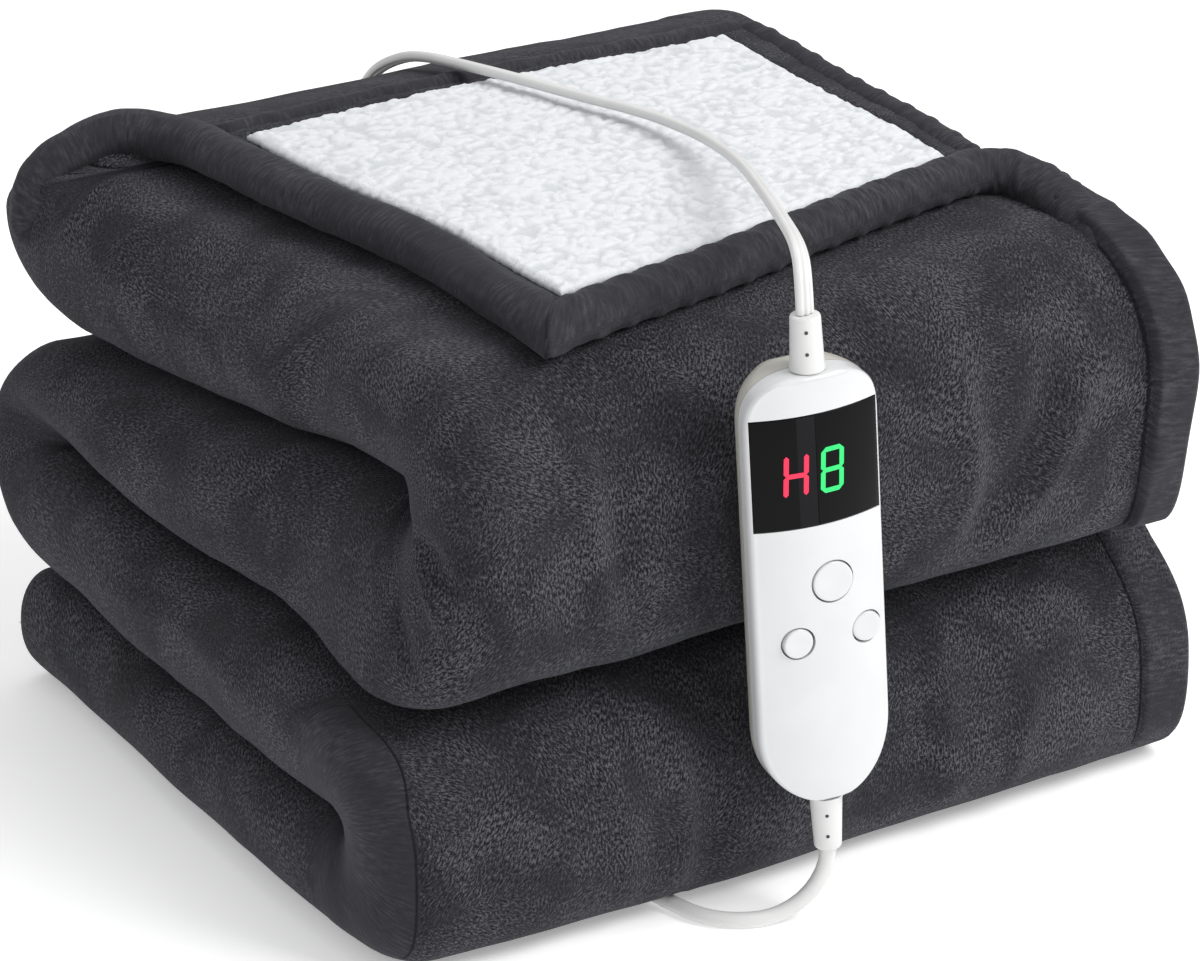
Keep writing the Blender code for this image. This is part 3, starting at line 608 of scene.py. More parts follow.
@dataclass
class FoldedThrow:
    """The flannel throw: four plies laid back and forth in four passes and a flap on top."""

    depth: float = 0.284
    ply_share: float = 0.228             # of a cut's thickness
    ply_loft: float = 13.0 * MM          # the most that a ply takes
    slit: float = 1.0 * MM               # air between two passes
    roll_share: float = 0.30             # reach of the left roll, of a cut's thickness
    roll_low_power: float = 3.2
    top_power: float = 2.2
    fold_in: float = 2.0 * MM
    tuck_in: float = 5.0 * MM
    free_end: float = 6.0 * MM           # depth over which the cloth's free ends round off
    free_shares: tuple[float, ...] = (0.0, 0.04, 0.14, 0.32, 0.58, 0.84)
    floor_snap: float = 1.2 * MM
    hem_width: float = 22.0 * MM
    hem_raise: float = 3.6 * MM
    hem_step: float = 3.0 * MM           # width of a hem's foot
    rolled_rim: float = 5.6 * MM         # rise of the upper packet's right rim
    low_rim: float = 2.2 * MM            # rise of the lower packet's right rim
    narrow_rim: float = 6.0 * MM
    clear: float = 20.0                  # stands for no seam near, in mm
    band_edge: float = 3.0 * MM          # the hem band's seam at the lower packet's left end
    band_lean: float = -8.0 * MM
    low_front_skew: float = 0.012
    flap_front: float = 0.022
    flap_back: float = 0.238
    flap_skew: float = 0.25
    flap_droop: float = 0.8
    flap_raise: float = 1.2 * MM
    flap_hem_front: float = 14.0 * MM
    flap_hem_back: float = 14.0 * MM
    flap_hem_left: tuple[float, float] = (3.0 * MM, 13.0 * MM)      # at the back and the front
    flap_hem_right: tuple[float, float] = (16.0 * MM, 5.0 * MM)
    border_gap: float = 6.0 * MM
    groove_height: float = 7.0 * MM      # the hollow over the mains cord
    groove_half: float = 3.9 * MM
    groove_slope: float = 2.4 * MM
    nap_lift: float = 1.0 * MM
    broad_cell: Triple = (0.034, 0.034, 0.050)
    fine_cell: Triple = (0.012, 0.014, 0.030)
    pucker_lift: float = 0.28 * MM
    crease_depth: float = 1.5
    crease_fall: float = 1.6
    # softly uneven cloth: height and pitches of each swell, and where it starts, in radians
    front_swells: tuple[tuple[float, ...], ...] = ((1.0, 40.0, 22.0, 0.4), (0.5, 71.0, -35.0, 1.7))
    side_swells: tuple[tuple[float, ...], ...] = ((1.0, 33.0, 47.0, 0.0), (0.6, 61.0, -30.0, 0.8))
    nudges: tuple[Nudge, ...] = (
        Nudge((-0.015, 0.250, 0.090), (0.050, 0.110, 0.045), (0.0, 0.0, 0.013)),
        Nudge((-0.015, 0.248, 0.095), (0.060, 0.040, 0.050), (0.0, 0.020, 0.0)),
        Nudge((-0.012, 0.250, 0.042), (0.050, 0.100, 0.030), (0.0, 0.0, 0.007)),
        Nudge((0.008, 0.040, 0.098), (0.045, 0.075, 0.040), (-0.007, 0.0, -0.009)),
    )
    fold_lines: dict[str, tuple[float, float]] = field(default_factory=lambda: {
        "floor": (0.0, 0.0),
        "low slit": (0.042, 0.037),
        "packet line": (0.090, 0.090),
        "top slit": (0.153, 0.133),
        "flap bed": (0.198, 0.200),
        "flap top": (0.208, 0.210),
    })
    passes: dict[str, tuple[str, str, str]] = field(default_factory=lambda: {
        "bottom": ("floor", "low slit", "under"),
        "third": ("low slit", "packet line", "over"),
        "second": ("packet line", "top slit", "under"),
        "first": ("top slit", "flap bed", "over"),
        "flap": ("flap bed", "flap top", "under"),
    })
    # centre in y, reach, squareness of the lower half, lower line, slit, upper line, facing, steps
    noses: dict[str, tuple] = field(default_factory=lambda: {
        "low front": (0.046, 0.052, 4.5, "floor", "low slit", "packet line", -1, 50),
        "back": (0.236, 0.052, 2.6, "low slit", "packet line", "top slit", 1, 34),
        "high front": (0.048, 0.053, 5.5, "packet line", "top slit", "flap bed", -1, 66),
        "flap back": (0.240, 0.046, 2.8, "top slit", "flap bed", "flap top", 1, 40),
    })

    def edges(self) -> tuple[tuple[str, float, float, float], ...]:
        """Return the ends of the cloth along the fold: place, place in it, left x and right x."""
        return (
            ("bottom", 0.276, -0.008, 0.302), ("bottom", 0.060, -0.010, 0.309),
            ("low front", 0.0, -0.008, 0.312), ("third", 0.060, -0.010, 0.308),
            ("third", 0.230, -0.012, 0.302), ("back", 0.0, -0.014, 0.302),
            ("second", 0.230, -0.010, 0.300), ("second", 0.060, 0.008, 0.300),
            ("high front", 0.0, 0.018, 0.299), ("high front", 1.57, 0.021, 0.298),
            ("first", 0.085, 0.019, 0.294), ("first", 0.120, 0.015, 0.276),
            ("first", 0.230, 0.000, 0.275),
            ("flap back", 0.0, -0.005, 0.276), ("flap", self.flap_back, 0.050, 0.278),
            ("flap", self.flap_front, 0.066, 0.269),
        )

    def line_height(self, name: str, y: float) -> float:
        """Return the height of a line between two passes at depth y."""
        front, back = self.fold_lines[name]
        return lerp(front, back, min(max(y / self.depth, 0.0), 1.0))

    def uneven(self, x: float, y: float, z: float) -> Vector:
        """Return a point moved by the pile of cloth's soft unevenness."""
        lift = min(z / 0.03, 1.0)
        front = math.exp(-((y / 0.05) ** 2))
        wave = sum(high * math.sin(x * a + z * b + start) for high, a, b, start in self.front_swells)
        side = sum(high * math.sin(y * a + z * b + start) for high, a, b, start in self.side_swells)
        low = min(max((0.100 - z) / 0.020, 0.0), 1.0)
        back_set = self.low_front_skew * min(max((x - 0.12) / 0.19, 0.0), 1.0) * front * low
        return Vector((
            x + 1.3 * MM * side * lift,
            y + back_set + 1.5 * MM * wave * lift * front
            + 1.2 * MM * math.sin(x * 23.0 + z * 50.0) * lift * (1 - front),
            z + 0.9 * MM * math.sin(x * 27.0 + 1.0) * math.sin(y * 25.0) * lift,
        ))

    def groove_x(self, y: float) -> float:
        """Return the middle of the hollow that the mains cord presses into the underside."""
        under = [p for p in MainsCord.route if p[1] > -0.013]
        if y <= under[0][1]:
            return under[0][0]
        for a, b in zip(under, under[1:]):
            if y <= b[1]:
                return lerp(a[0], b[0], (y - a[1]) / (b[1] - a[1]))
        return under[-1][0]

    def droop(self, y: float) -> float:
        """Return how far the top of the high front fold falls at depth y, which the flap follows."""
        centre, reach = self.noses["high front"][:2]
        half = (self.line_height("flap bed", centre) - self.line_height("packet line", centre)) / 2
        out = min(max((centre - y) / reach, 0.0), 1.0)
        return half * (1 - (1 - out ** self.top_power) ** (1 / self.top_power))

    def pass_station(self, name: str, y: float) -> Station:
        """Return the cut across a pass at depth y."""
        under, over, side = self.passes[name]
        low = Vector((y, self.line_height(under, y) + (0.0 if under == "floor" else self.slit / 2)))
        high = Vector((y, self.line_height(over, y) - (0.0 if over == "flap top" else self.slit / 2)))
        return Station(name, y, low, high) if side == "under" else Station(name, y, high, low)

    def nose_stations(self, name: str) -> list[Station]:
        """Return the cuts round a fold, evenly spaced along its outer face."""
        centre, reach, low_power, lower, slit, upper, facing, steps = self.noses[name]
        low = self.line_height(lower, centre) + (0.0 if lower == "floor" else self.slit / 2)
        high = self.line_height(upper, centre) - (0.0 if upper == "flap top" else self.slit / 2)
        middle, half = (low + high) / 2, (high - low) / 2
        fine = []
        for i in range(ROUND_THE_FOLD + 1):
            angle = math.pi * (i / ROUND_THE_FOLD - 0.5)
            c, s = math.cos(angle), math.sin(angle)
            power = self.top_power if s > 0 else low_power
            outer = Vector((centre + facing * reach * abs(c) ** (2 / power),
                            middle + half * math.copysign(abs(s) ** (2 / power), s)))
            inner = Vector((centre + facing * self.slit / 2 * c,
                            self.line_height(slit, centre) + self.slit / 2 * s))
            fine.append((angle, outer, inner))
        stations = []
        for j, t in even_places(distances([cut[1] for cut in fine]), steps):
            a, b = fine[j], fine[j + 1]
            outer, inner = a[1].lerp(b[1], t), a[2].lerp(b[2], t)
            one, four = (outer, inner) if facing < 0 else (inner, outer)
            stations.append(Station(name, lerp(a[0], b[0], t), one, four))
        return stations

    def slant(self, station: Station) -> None:
        """Slant a cut of the flap by how far towards the front it is."""
        station.toward_front = (self.flap_back - station.along) / (self.flap_back - self.flap_front)
        station.skew = self.flap_skew * station.toward_front

    def flap_station(self, flap: Sequence[Station], y: float) -> Station:
        """Return a plain cut across the flap at depth y, with the ends that its nearest cut has."""
        near = min(flap, key=lambda st: abs(st.along - y))
        st = self.pass_station("flap", y)
        st.left, st.right = near.left, near.right
        self.slant(st)
        return st

    def stations(self) -> list[Station]:
        """Return every cut, from the free end at the bottom's back to the flap's front hem."""
        def rows(name: str, start: float, stop: float, count: int) -> list[Station]:
            """Cut a pass evenly from one depth to another."""
            return [self.pass_station(name, lerp(start, stop, i / (count - 1))) for i in range(count)]

        def free(name: str, end: float, inward: int) -> list[Station]:
            """Round the cloth's free end off, from its very end inwards."""
            made = []
            for share in self.free_shares:
                station = self.pass_station(name, end + inward * share * self.free_end)
                station.pinch = max(math.sqrt(1 - (1 - share) ** 2), 0.12)
                made.append(station)
            return made

        s = free("bottom", 0.276, -1)
        s += rows("bottom", 0.268, 0.052, 24)
        s += self.nose_stations("low front")
        s += rows("third", 0.056, 0.226, 20)
        s += self.nose_stations("back")
        s += rows("second", 0.226, 0.058, 20)
        s += self.nose_stations("high front")
        s += rows("first", 0.056, 0.128, 18) + rows("first", 0.134, 0.230, 13)
        s += self.nose_stations("flap back")
        hem_front = self.flap_front + self.flap_hem_front
        hem_back = self.flap_back - self.flap_hem_back
        flap = rows("flap", self.flap_back - 0.002, hem_back + 0.001, 5)
        flap += rows("flap", hem_back, hem_back - self.hem_step, 4)
        flap += rows("flap", hem_back - self.hem_step - 0.003, hem_front + self.hem_step + 0.003, 34)
        flap += rows("flap", hem_front + self.hem_step, hem_front, 4)
        flap += rows("flap", hem_front - 0.0025, self.flap_front + self.free_end, 4)
        flap += free("flap", self.flap_front, 1)[::-1]
        for station in flap:
            self.slant(station)
            hem = max(smooth((hem_front + self.hem_step - station.along) / self.hem_step),
                      smooth((station.along - hem_back + self.hem_step) / self.hem_step))
            station.border_all = self.flap_raise * hem * station.pinch
            station.border_left = station.border_right = self.flap_raise * station.pinch
            station.ply_share = 0.25
        s += flap
        for station in s:
            if station.place == "second":
                station.under_power = lerp(3.6, 2.0, smooth((station.along - 0.10) / 0.10))
            if station.place == "high front":
                station.under_power = lerp(3.6, 2.0, smooth(station.along / math.pi + 0.5))
                station.rim = self.rolled_rim * max(0.0, math.cos((station.along - 0.6) * 0.75))
                station.rim_in = self.narrow_rim
            elif station.place == "low front":
                station.rim = self.low_rim * max(0.0, math.cos(station.along * 1.15))
                station.rim *= smooth(station.along / 0.9 + 1)
                station.rim_in = self.narrow_rim / 2
            elif station.place == "first":
                station.rim = self.rolled_rim * smooth((0.125 - station.along) / 0.035)
                station.rim_in = self.narrow_rim
                back = min(max(station.along - 0.1, 0.0) / 0.06, 1.0)
                station.roll_power = lerp(2.0, self.roll_low_power, back)
            elif station.place == "flap back":
                station.roll_power = lerp(self.roll_low_power, 2.0, station.along / math.pi + 0.5)
                station.border_left = self.flap_raise * max(0.0, math.sin(station.along + 0.5))
                station.border_right = self.flap_raise * max(0.0, math.sin(station.along))
                station.border_all = self.flap_raise * smooth((station.along - 1.2) / 0.37)
        self.set_edges(s)
        return s

    def set_edges(self, stations: list[Station]) -> None:
        """Read the left and right ends of the cloth by distance along the fold."""
        total = 0.0
        for i, station in enumerate(stations):
            middle = (station.one + station.four) / 2
            if i:
                total += (middle - (stations[i - 1].one + stations[i - 1].four) / 2).length
            station.travel = total
        knots = []
        for place, along, left, right in self.edges():
            nearest = min((abs(st.along - along), st.travel) for st in stations if st.place == place)
            knots.append((nearest[1], left, right))
        for station in stations:
            before = [k for k in knots if k[0] <= station.travel + 1e-9]
            after = [k for k in knots if k[0] > station.travel + 1e-9]
            a = before[-1] if before else knots[0]
            b = after[0] if after else a
            t = smooth((station.travel - a[0]) / (b[0] - a[0])) if b[0] > a[0] else 0.0
            station.left, station.right = lerp(a[1], b[1], t), lerp(a[2], b[2], t)

    def plies(self, st: Station) -> Triple:
        """Return a cut's thickness, that of one ply and the x of its left roll's middle."""
        thick = (st.one - st.four).length * st.pinch
        ply = min((st.ply_share or self.ply_share) * thick, self.ply_loft)
        return thick, ply, st.left + (ply / 2 + self.roll_share * thick) / st.pinch

    def borders(self, st: Station) -> tuple[float, float]:
        """Return the x where the flap's left hem ends and where its right one starts, at a cut."""
        roll_x = self.plies(st)[2]
        return (roll_x + lerp(*self.flap_hem_left, st.toward_front),
                st.right - self.border_gap - lerp(*self.flap_hem_right, st.toward_front))

    def section(self, st: Station) -> list[tuple[float, float, float, str, float]]:
        """Return the outline of the four plies at a cut.

        Args:
            st: The cut.

        Returns:
            Its points as x, distance towards ply one, hem share, role and distance in mm from the
            hem's edge, the outer side first.
        """
        thick, ply, roll_x = self.plies(st)
        left, right = st.left, st.right
        one, two, three, four = (thick * k / 8 for k in (3, 1, -1, -3))
        roll = self.roll_share * thick
        fold_x = right - self.fold_in - ply / 2 - thick / 8
        inner_x = left + ply * 1.5 + max(thick / 4 - ply, 0.6 * MM) + thick / 8
        hem_in = right - self.hem_width + st.rim_in
        hem_foot = hem_in - self.hem_step
        y = st.one.x
        groove = self.groove_x(y)
        slope = (self.groove_x(y + 0.004) - self.groove_x(y - 0.004)) / 0.008
        half = self.groove_half * math.sqrt(1 + slope * slope)
        border_in, border_out = self.borders(st)

        def run(start: float, stop: float, count: int, n: float) -> list[tuple[float, float, str]]:
            """Follow a ply from one x to just before another."""
            return [(lerp(start, stop, i / count), n, "") for i in range(count)]

        def turn(cx: float, cn: float, rx: float, rn: float, start: float, end: float,
                 steps: int, role: str = "", low_power: float = 2.0,
                 high_power: float = 2.0) -> list[tuple[float, float, str]]:
            """Turn round a middle, in degrees, more squarely where a power is above two."""
            made = []
            for i in range(1, steps):
                a = math.radians(lerp(start, end, i / steps))
                c, s = math.cos(a), math.sin(a)
                share = 2 / (low_power if s < 0 else high_power)
                made.append((cx + rx * math.copysign(abs(c) ** share, c),
                             cn + rn * math.copysign(abs(s) ** share, s), role))
            return made

        line = run(right - ply * 0.25, hem_in, 11, one) + run(hem_in, hem_foot, 5, one)
        line += run(hem_foot, groove + half + self.groove_slope, 46, one)
        line += run(groove + half + self.groove_slope, groove - half - self.groove_slope, 8, one)
        line += run(groove - half - self.groove_slope, roll_x, 22, one) + [(roll_x, one, "")]
        line += turn(roll_x, 0.0, roll, one, 90, 270, 30, "roll", st.roll_power, st.under_power)
        line += run(roll_x, border_in, 5, four) + run(border_in, border_in + self.hem_step, 4, four)
        line += run(border_in + self.hem_step, border_out, 48, four)
        line += run(border_out, border_out + self.hem_step, 4, four)
        line += run(border_out + self.hem_step, fold_x, 6, four) + [(fold_x, four, "")]
        outer_fold = turn(fold_x, -thick / 4, thick / 8, thick / 8, -90, 90, 10, "fold")
        line += outer_fold + run(fold_x, inner_x, 8, three) + [(inner_x, three, "")]
        line += turn(inner_x, 0.0, thick / 8, thick / 8, 270, 90, 7)
        line += run(inner_x, right - self.tuck_in, 8, two) + [(right - self.tuck_in, two, "")]

        half_ply = ply / 2
        outer, inner = [], []
        for i, (x, n, role) in enumerate(line):
            a, b = line[max(i - 1, 0)], line[min(i + 1, len(line) - 1)]
            dx, dn = b[0] - a[0], b[1] - a[1]
            size = math.hypot(dx, dn) or 1.0
            nx, nn = dn / size, -dx / size
            rise = 0.0
            if n == one:
                rise = st.rim * smooth((x - hem_foot) / self.hem_step)
            elif n == four:
                rise = max(st.border_all,
                           st.border_left * smooth((border_in + self.hem_step - x) / self.hem_step),
                           st.border_right * smooth((x - border_out) / self.hem_step))
            elif role == "roll" and n < 0:
                rise = max(st.border_left, st.border_all) * (n / four) ** 2
            elif role == "fold" and n < -thick / 4:
                rise = max(st.border_right, st.border_all) * ((n + thick / 4) / (thick / 8)) ** 2
            share, edge = min(rise / self.hem_raise, 1.0), self.clear
            if st.rim > 0.3 * MM and n == one:
                edge = (hem_foot + 0.6 * MM - x) / MM
            if st.place == "low front" and (n == one or role == "roll"):
                seam = self.band_edge - self.band_lean * smooth((st.one.y - 0.060) / 0.030)
                left_edge = (x + nx * half_ply - seam) / MM
                edge = min(edge, left_edge) if n > 0 else -self.clear
                share = max(share, smooth(0.5 - left_edge / 1.6)) if n > 0 else 1.0
            outer.append((x + nx * (half_ply + rise), n + nn * (half_ply + rise), share, "skin", edge))
            if i % 6 == 0 or i == len(line) - 1:
                inner.append((x - nx * half_ply, n - nn * half_ply, 0.0, "", self.clear))
        rim = st.rim
        tip_one = [(right - ply * 0.25 + (ply * 0.25) * c, one + rim * 0.5 + (half_ply + rim * 0.5) * s,
                    min(rim / self.hem_raise, 1.0), "skin", -self.clear)
                   for c, s in ((0.45, -0.9), (0.85, -0.5), (1.0, 0.0), (0.85, 0.5), (0.45, 0.9))]
        tip_two = [(line[-1][0] + ply * 0.3, line[-1][1], 0.0, "", self.clear)]
        return tip_one + outer + tip_two + inner[::-1]

    def place(self, st: Station, x: float, n: float) -> Vector:
        """Return the point (x, n) of a cut, in the stack's frame."""
        across = st.one - st.four
        at = (st.one + st.four) / 2 + across.normalized() * n
        y = at.x + st.skew * (x - st.left)
        z = at.y if at.y > self.floor_snap else 0.0
        z -= self.flap_droop * self.droop(y) if st.place == "flap" else 0.0
        p = self.uneven(x, y, z)
        if z > 0.0:
            for nudge in self.nudges:
                p = nudge.move(p)
        return p

    def creases(self) -> tuple[Crease, ...]:
        """Return the main creases."""
        return (
            # the upper packet's front, right of the controller
            Crease(((0.262, 0.002, 0.172), (0.247, 0.000, 0.164), (0.241, -0.003, 0.150),
                    (0.230, -0.003, 0.132), (0.218, -0.004, 0.121), (0.205, -0.003, 0.112)),
                   0.0075, 2.6 * MM),
            Crease(((0.272, 0.000, 0.168), (0.258, -0.002, 0.156), (0.250, -0.003, 0.140),
                    (0.240, -0.004, 0.124), (0.226, -0.003, 0.108)), 0.0060, -2.8 * MM),
            Crease(((0.209, 0.002, 0.176), (0.209, -0.004, 0.160), (0.210, -0.005, 0.138),
                    (0.206, -0.004, 0.110)), 0.0055, -1.9 * MM),
            Crease(((0.221, -0.002, 0.165), (0.222, -0.005, 0.140), (0.216, -0.004, 0.112)),
                   0.0060, 1.3 * MM),
            Crease(((0.292, 0.000, 0.150), (0.286, -0.004, 0.128), (0.270, -0.004, 0.104)),
                   0.0060, -1.4 * MM),
            # the upper packet's front, left of the controller
            Crease(((0.067, 0.006, 0.181), (0.066, -0.004, 0.160), (0.068, -0.005, 0.139),
                    (0.072, -0.003, 0.108)), 0.0058, -2.0 * MM),
            Crease(((0.078, 0.000, 0.172), (0.078, -0.005, 0.145), (0.084, -0.003, 0.110)),
                   0.0060, 1.6 * MM),
            Crease(((0.115, 0.002, 0.174), (0.116, -0.004, 0.150), (0.115, -0.004, 0.127),
                    (0.119, -0.002, 0.104)), 0.0060, -1.7 * MM),
            # its left end, where the cloth turns the corner
            Crease(((0.024, 0.040, 0.147), (0.021, 0.014, 0.144), (0.026, 0.002, 0.130),
                    (0.034, -0.001, 0.110)), 0.0050, 2.0 * MM),
            Crease(((0.019, 0.026, 0.146), (0.016, 0.012, 0.134), (0.021, 0.003, 0.118),
                    (0.024, 0.003, 0.102)), 0.0036, -3.4 * MM),
            Crease(((0.030, 0.010, 0.152), (0.032, -0.001, 0.136), (0.040, -0.003, 0.116)),
                   0.0036, -2.2 * MM),
            Crease(((0.040, 0.004, 0.156), (0.044, -0.003, 0.136), (0.052, -0.003, 0.112)),
                   0.0042, -1.6 * MM),
            Crease(((0.012, 0.032, 0.132), (0.008, 0.020, 0.118), (0.014, 0.012, 0.102)), 0.0040, 1.8 * MM),
            # the twisted hem at the top right corner
            Crease(((0.262, 0.086, 0.203), (0.276, 0.082, 0.204), (0.292, 0.084, 0.200)),
                   0.0032, -2.6 * MM),
            Crease(((0.266, 0.072, 0.203), (0.280, 0.070, 0.204), (0.295, 0.076, 0.200)),
                   0.0034, -2.8 * MM),
            Crease(((0.268, 0.060, 0.203), (0.281, 0.059, 0.204), (0.296, 0.066, 0.200)),
                   0.0032, -2.4 * MM),
            Crease(((0.270, 0.048, 0.202), (0.283, 0.047, 0.203), (0.297, 0.053, 0.199)),
                   0.0032, -2.2 * MM),
            Crease(((0.272, 0.034, 0.201), (0.284, 0.034, 0.202), (0.296, 0.039, 0.198)),
                   0.0032, -1.4 * MM),
            # the lower packet's front
            Crease(((0.062, 0.008, 0.078), (0.071, -0.002, 0.0655), (0.078, -0.006, 0.045),
                    (0.080, -0.004, 0.012)), 0.0060, -1.8 * MM),
            Crease(((0.092, 0.008, 0.078), (0.099, -0.003, 0.060), (0.101, -0.006, 0.035),
                    (0.098, -0.004, 0.012)), 0.0060, -1.8 * MM),
            Crease(((0.112, 0.004, 0.072), (0.116, -0.004, 0.045), (0.112, -0.004, 0.012)),
                   0.0060, 1.2 * MM),
            Crease(((0.208, 0.012, 0.078), (0.206, 0.000, 0.050), (0.210, 0.000, 0.012)),
                   0.0065, -2.0 * MM),
            Crease(((0.232, 0.006, 0.068), (0.240, 0.001, 0.045), (0.236, 0.002, 0.014)),
                   0.0060, -1.8 * MM),
            Crease(((0.160, 0.006, 0.074), (0.164, -0.003, 0.045), (0.160, -0.002, 0.012)),
                   0.0080, -1.3 * MM),
            # the left ends of the passes
            Crease(((0.002, 0.225, 0.175), (0.006, 0.160, 0.166), (0.014, 0.090, 0.170)),
                   0.0090, -1.8 * MM),
            Crease(((-0.010, 0.230, 0.130), (-0.006, 0.150, 0.128), (0.002, 0.080, 0.132)),
                   0.0080, -1.4 * MM),
            Crease(((-0.012, 0.200, 0.070), (-0.011, 0.130, 0.074), (-0.008, 0.070, 0.070)),
                   0.0070, -1.4 * MM),
            Crease(((-0.012, 0.270, 0.030), (-0.014, 0.245, 0.020), (-0.012, 0.225, 0.006)),
                   0.0040, -2.2 * MM),
        )

    def build(self, material: bpy.types.Material, hems: Sequence[bpy.types.Object] = ()) -> bpy.types.Object:
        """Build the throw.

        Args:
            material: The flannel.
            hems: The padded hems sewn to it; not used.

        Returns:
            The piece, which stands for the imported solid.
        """
        stations = self.stations()
        sections = [self.section(st) for st in stations]
        points = [[self.place(st, p[0], p[1]) for p in ring] for st, ring in zip(stations, sections)]
        for st, row in zip(stations, points):
            if st.place in ("bottom", "low front"):
                for p in row:
                    centre = self.groove_x(p.y)
                    off = abs(p.x - centre)
                    reach = self.groove_half + 0.6 * MM
                    if p.z < self.groove_height and p.y > -0.02 and off < reach + self.groove_slope:
                        share = 1 - smooth((off - reach) / self.groove_slope)
                        p.z = max(p.z, self.groove_height * share)
        bm, table = tube(points, ("hem", "across", "edge"))
        self.shape_skin(bm, table, sections, stations)
        self.map_cloth(bm, table, sections, stations)
        bmesh.ops.translate(bm, vec=-ORIGIN, verts=bm.verts)
        obj = finish_mesh("throw", bm, material)
        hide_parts("throw_flannel")
        return obj

    def shape_skin(self, bm: bmesh.types.BMesh, table: list, sections: list, stations: list[Station]) -> None:
        """Press the creases and the pile's unevenness into the skin that shows."""
        bm.normal_update()
        picked = [(v, st, ring[c]) for row, st, ring in zip(table, stations, sections)
                  for c, v in enumerate(row) if ring[c][3] == "skin"]
        co = np.array([v.co for v, _, _ in picked])
        normal = np.array([v.normal for v, _, _ in picked])
        move = np.zeros(len(picked))
        for crease in self.creases():
            path = np.array(crease.points)
            best = np.full(len(co), 9.0)
            share = np.zeros(len(co))
            for i, (a, b) in enumerate(zip(path, path[1:])):
                ab = b - a
                t = np.clip(((co - a) @ ab) / (ab @ ab), 0, 1)
                gap = np.linalg.norm(co - (a + t[:, None] * ab), axis=1)
                nearer = gap < best
                best = np.where(nearer, gap, best)
                share = np.where(nearer, (i + t) / (len(path) - 1), share)
            ends = np.sin(np.pi * np.clip(share * 0.9 + 0.05, 0, 1)) ** 0.6
            fall = np.exp(-(best / crease.width) ** 2 * self.crease_fall)
            move += self.crease_depth * crease.height * ends * fall
        for i, (v, st, point) in enumerate(picked):
            p, hem = v.co, point[2]
            broad = noise.noise(Vector([value / cell for value, cell in zip(p, self.broad_cell)]))
            fine = noise.noise(Vector([value / cell for value, cell in zip(p, self.fine_cell)])
                               + Vector((0.0, 0.0, 7.0)))
            move[i] += (0.9 * broad + 0.45 * fine) * self.nap_lift * (1 - 0.6 * min(hem, 1.0))
            if hem > 0.5:
                pucker = math.sin((p.x * 0.9 + p.y * 1.3 + p.z * 0.8) / 0.0052 + 2.2 * broad)
                move[i] += self.pucker_lift * pucker * (hem - 0.5) * 2
        keep = np.clip(co[:, 2] / 0.012, 0, 1)
        for (v, _, _), d, nrm, k in zip(picked, move, normal, keep):
            v.co += Vector(nrm) * float(d * k)
            v.co.z = max(v.co.z, 0.0)

    def map_cloth(self, bm: bmesh.types.BMesh, table: list, sections: list, stations: list[Station]) -> None:
        """Lay a UV map in metres over the cloth, and its hems as an attribute."""
        layers = bm.verts.layers.float
        hem_layer, across_layer, edge_layer = layers["hem"], layers["across"], layers["edge"]
        uv: dict[bmesh.types.BMVert, tuple[float, float]] = {}
        along = 0.0
        before = stations[0]
        for row, ring, st in zip(table, sections, stations):
            along += max((st.one - before.one).length, (st.four - before.four).length)
            before = st
            u = 0.0
            for c, v in enumerate(row):
                if c:
                    u += math.hypot(ring[c][0] - ring[c - 1][0], ring[c][1] - ring[c - 1][1])
                uv[v] = (u, along)
                v[hem_layer] = min(max(ring[c][2], 0.0), 1.0)
                v[across_layer] = min(st.border_all / self.hem_raise, 1.0)
                v[edge_layer] = ring[c][4]
        lay_map(bm, uv)


@dataclass(frozen=True)
class Roll:
    """One padded hem: its half sizes and its gathers."""

    name: str
    half: tuple[float, float]            # across and upright
    pitch: float                         # spacing of its puckers
    depth: float                         # height of its puckers as a share of its size
    lean: float                          # how much the puckers twist round it
    along: float                         # fine wrinkles that run its length


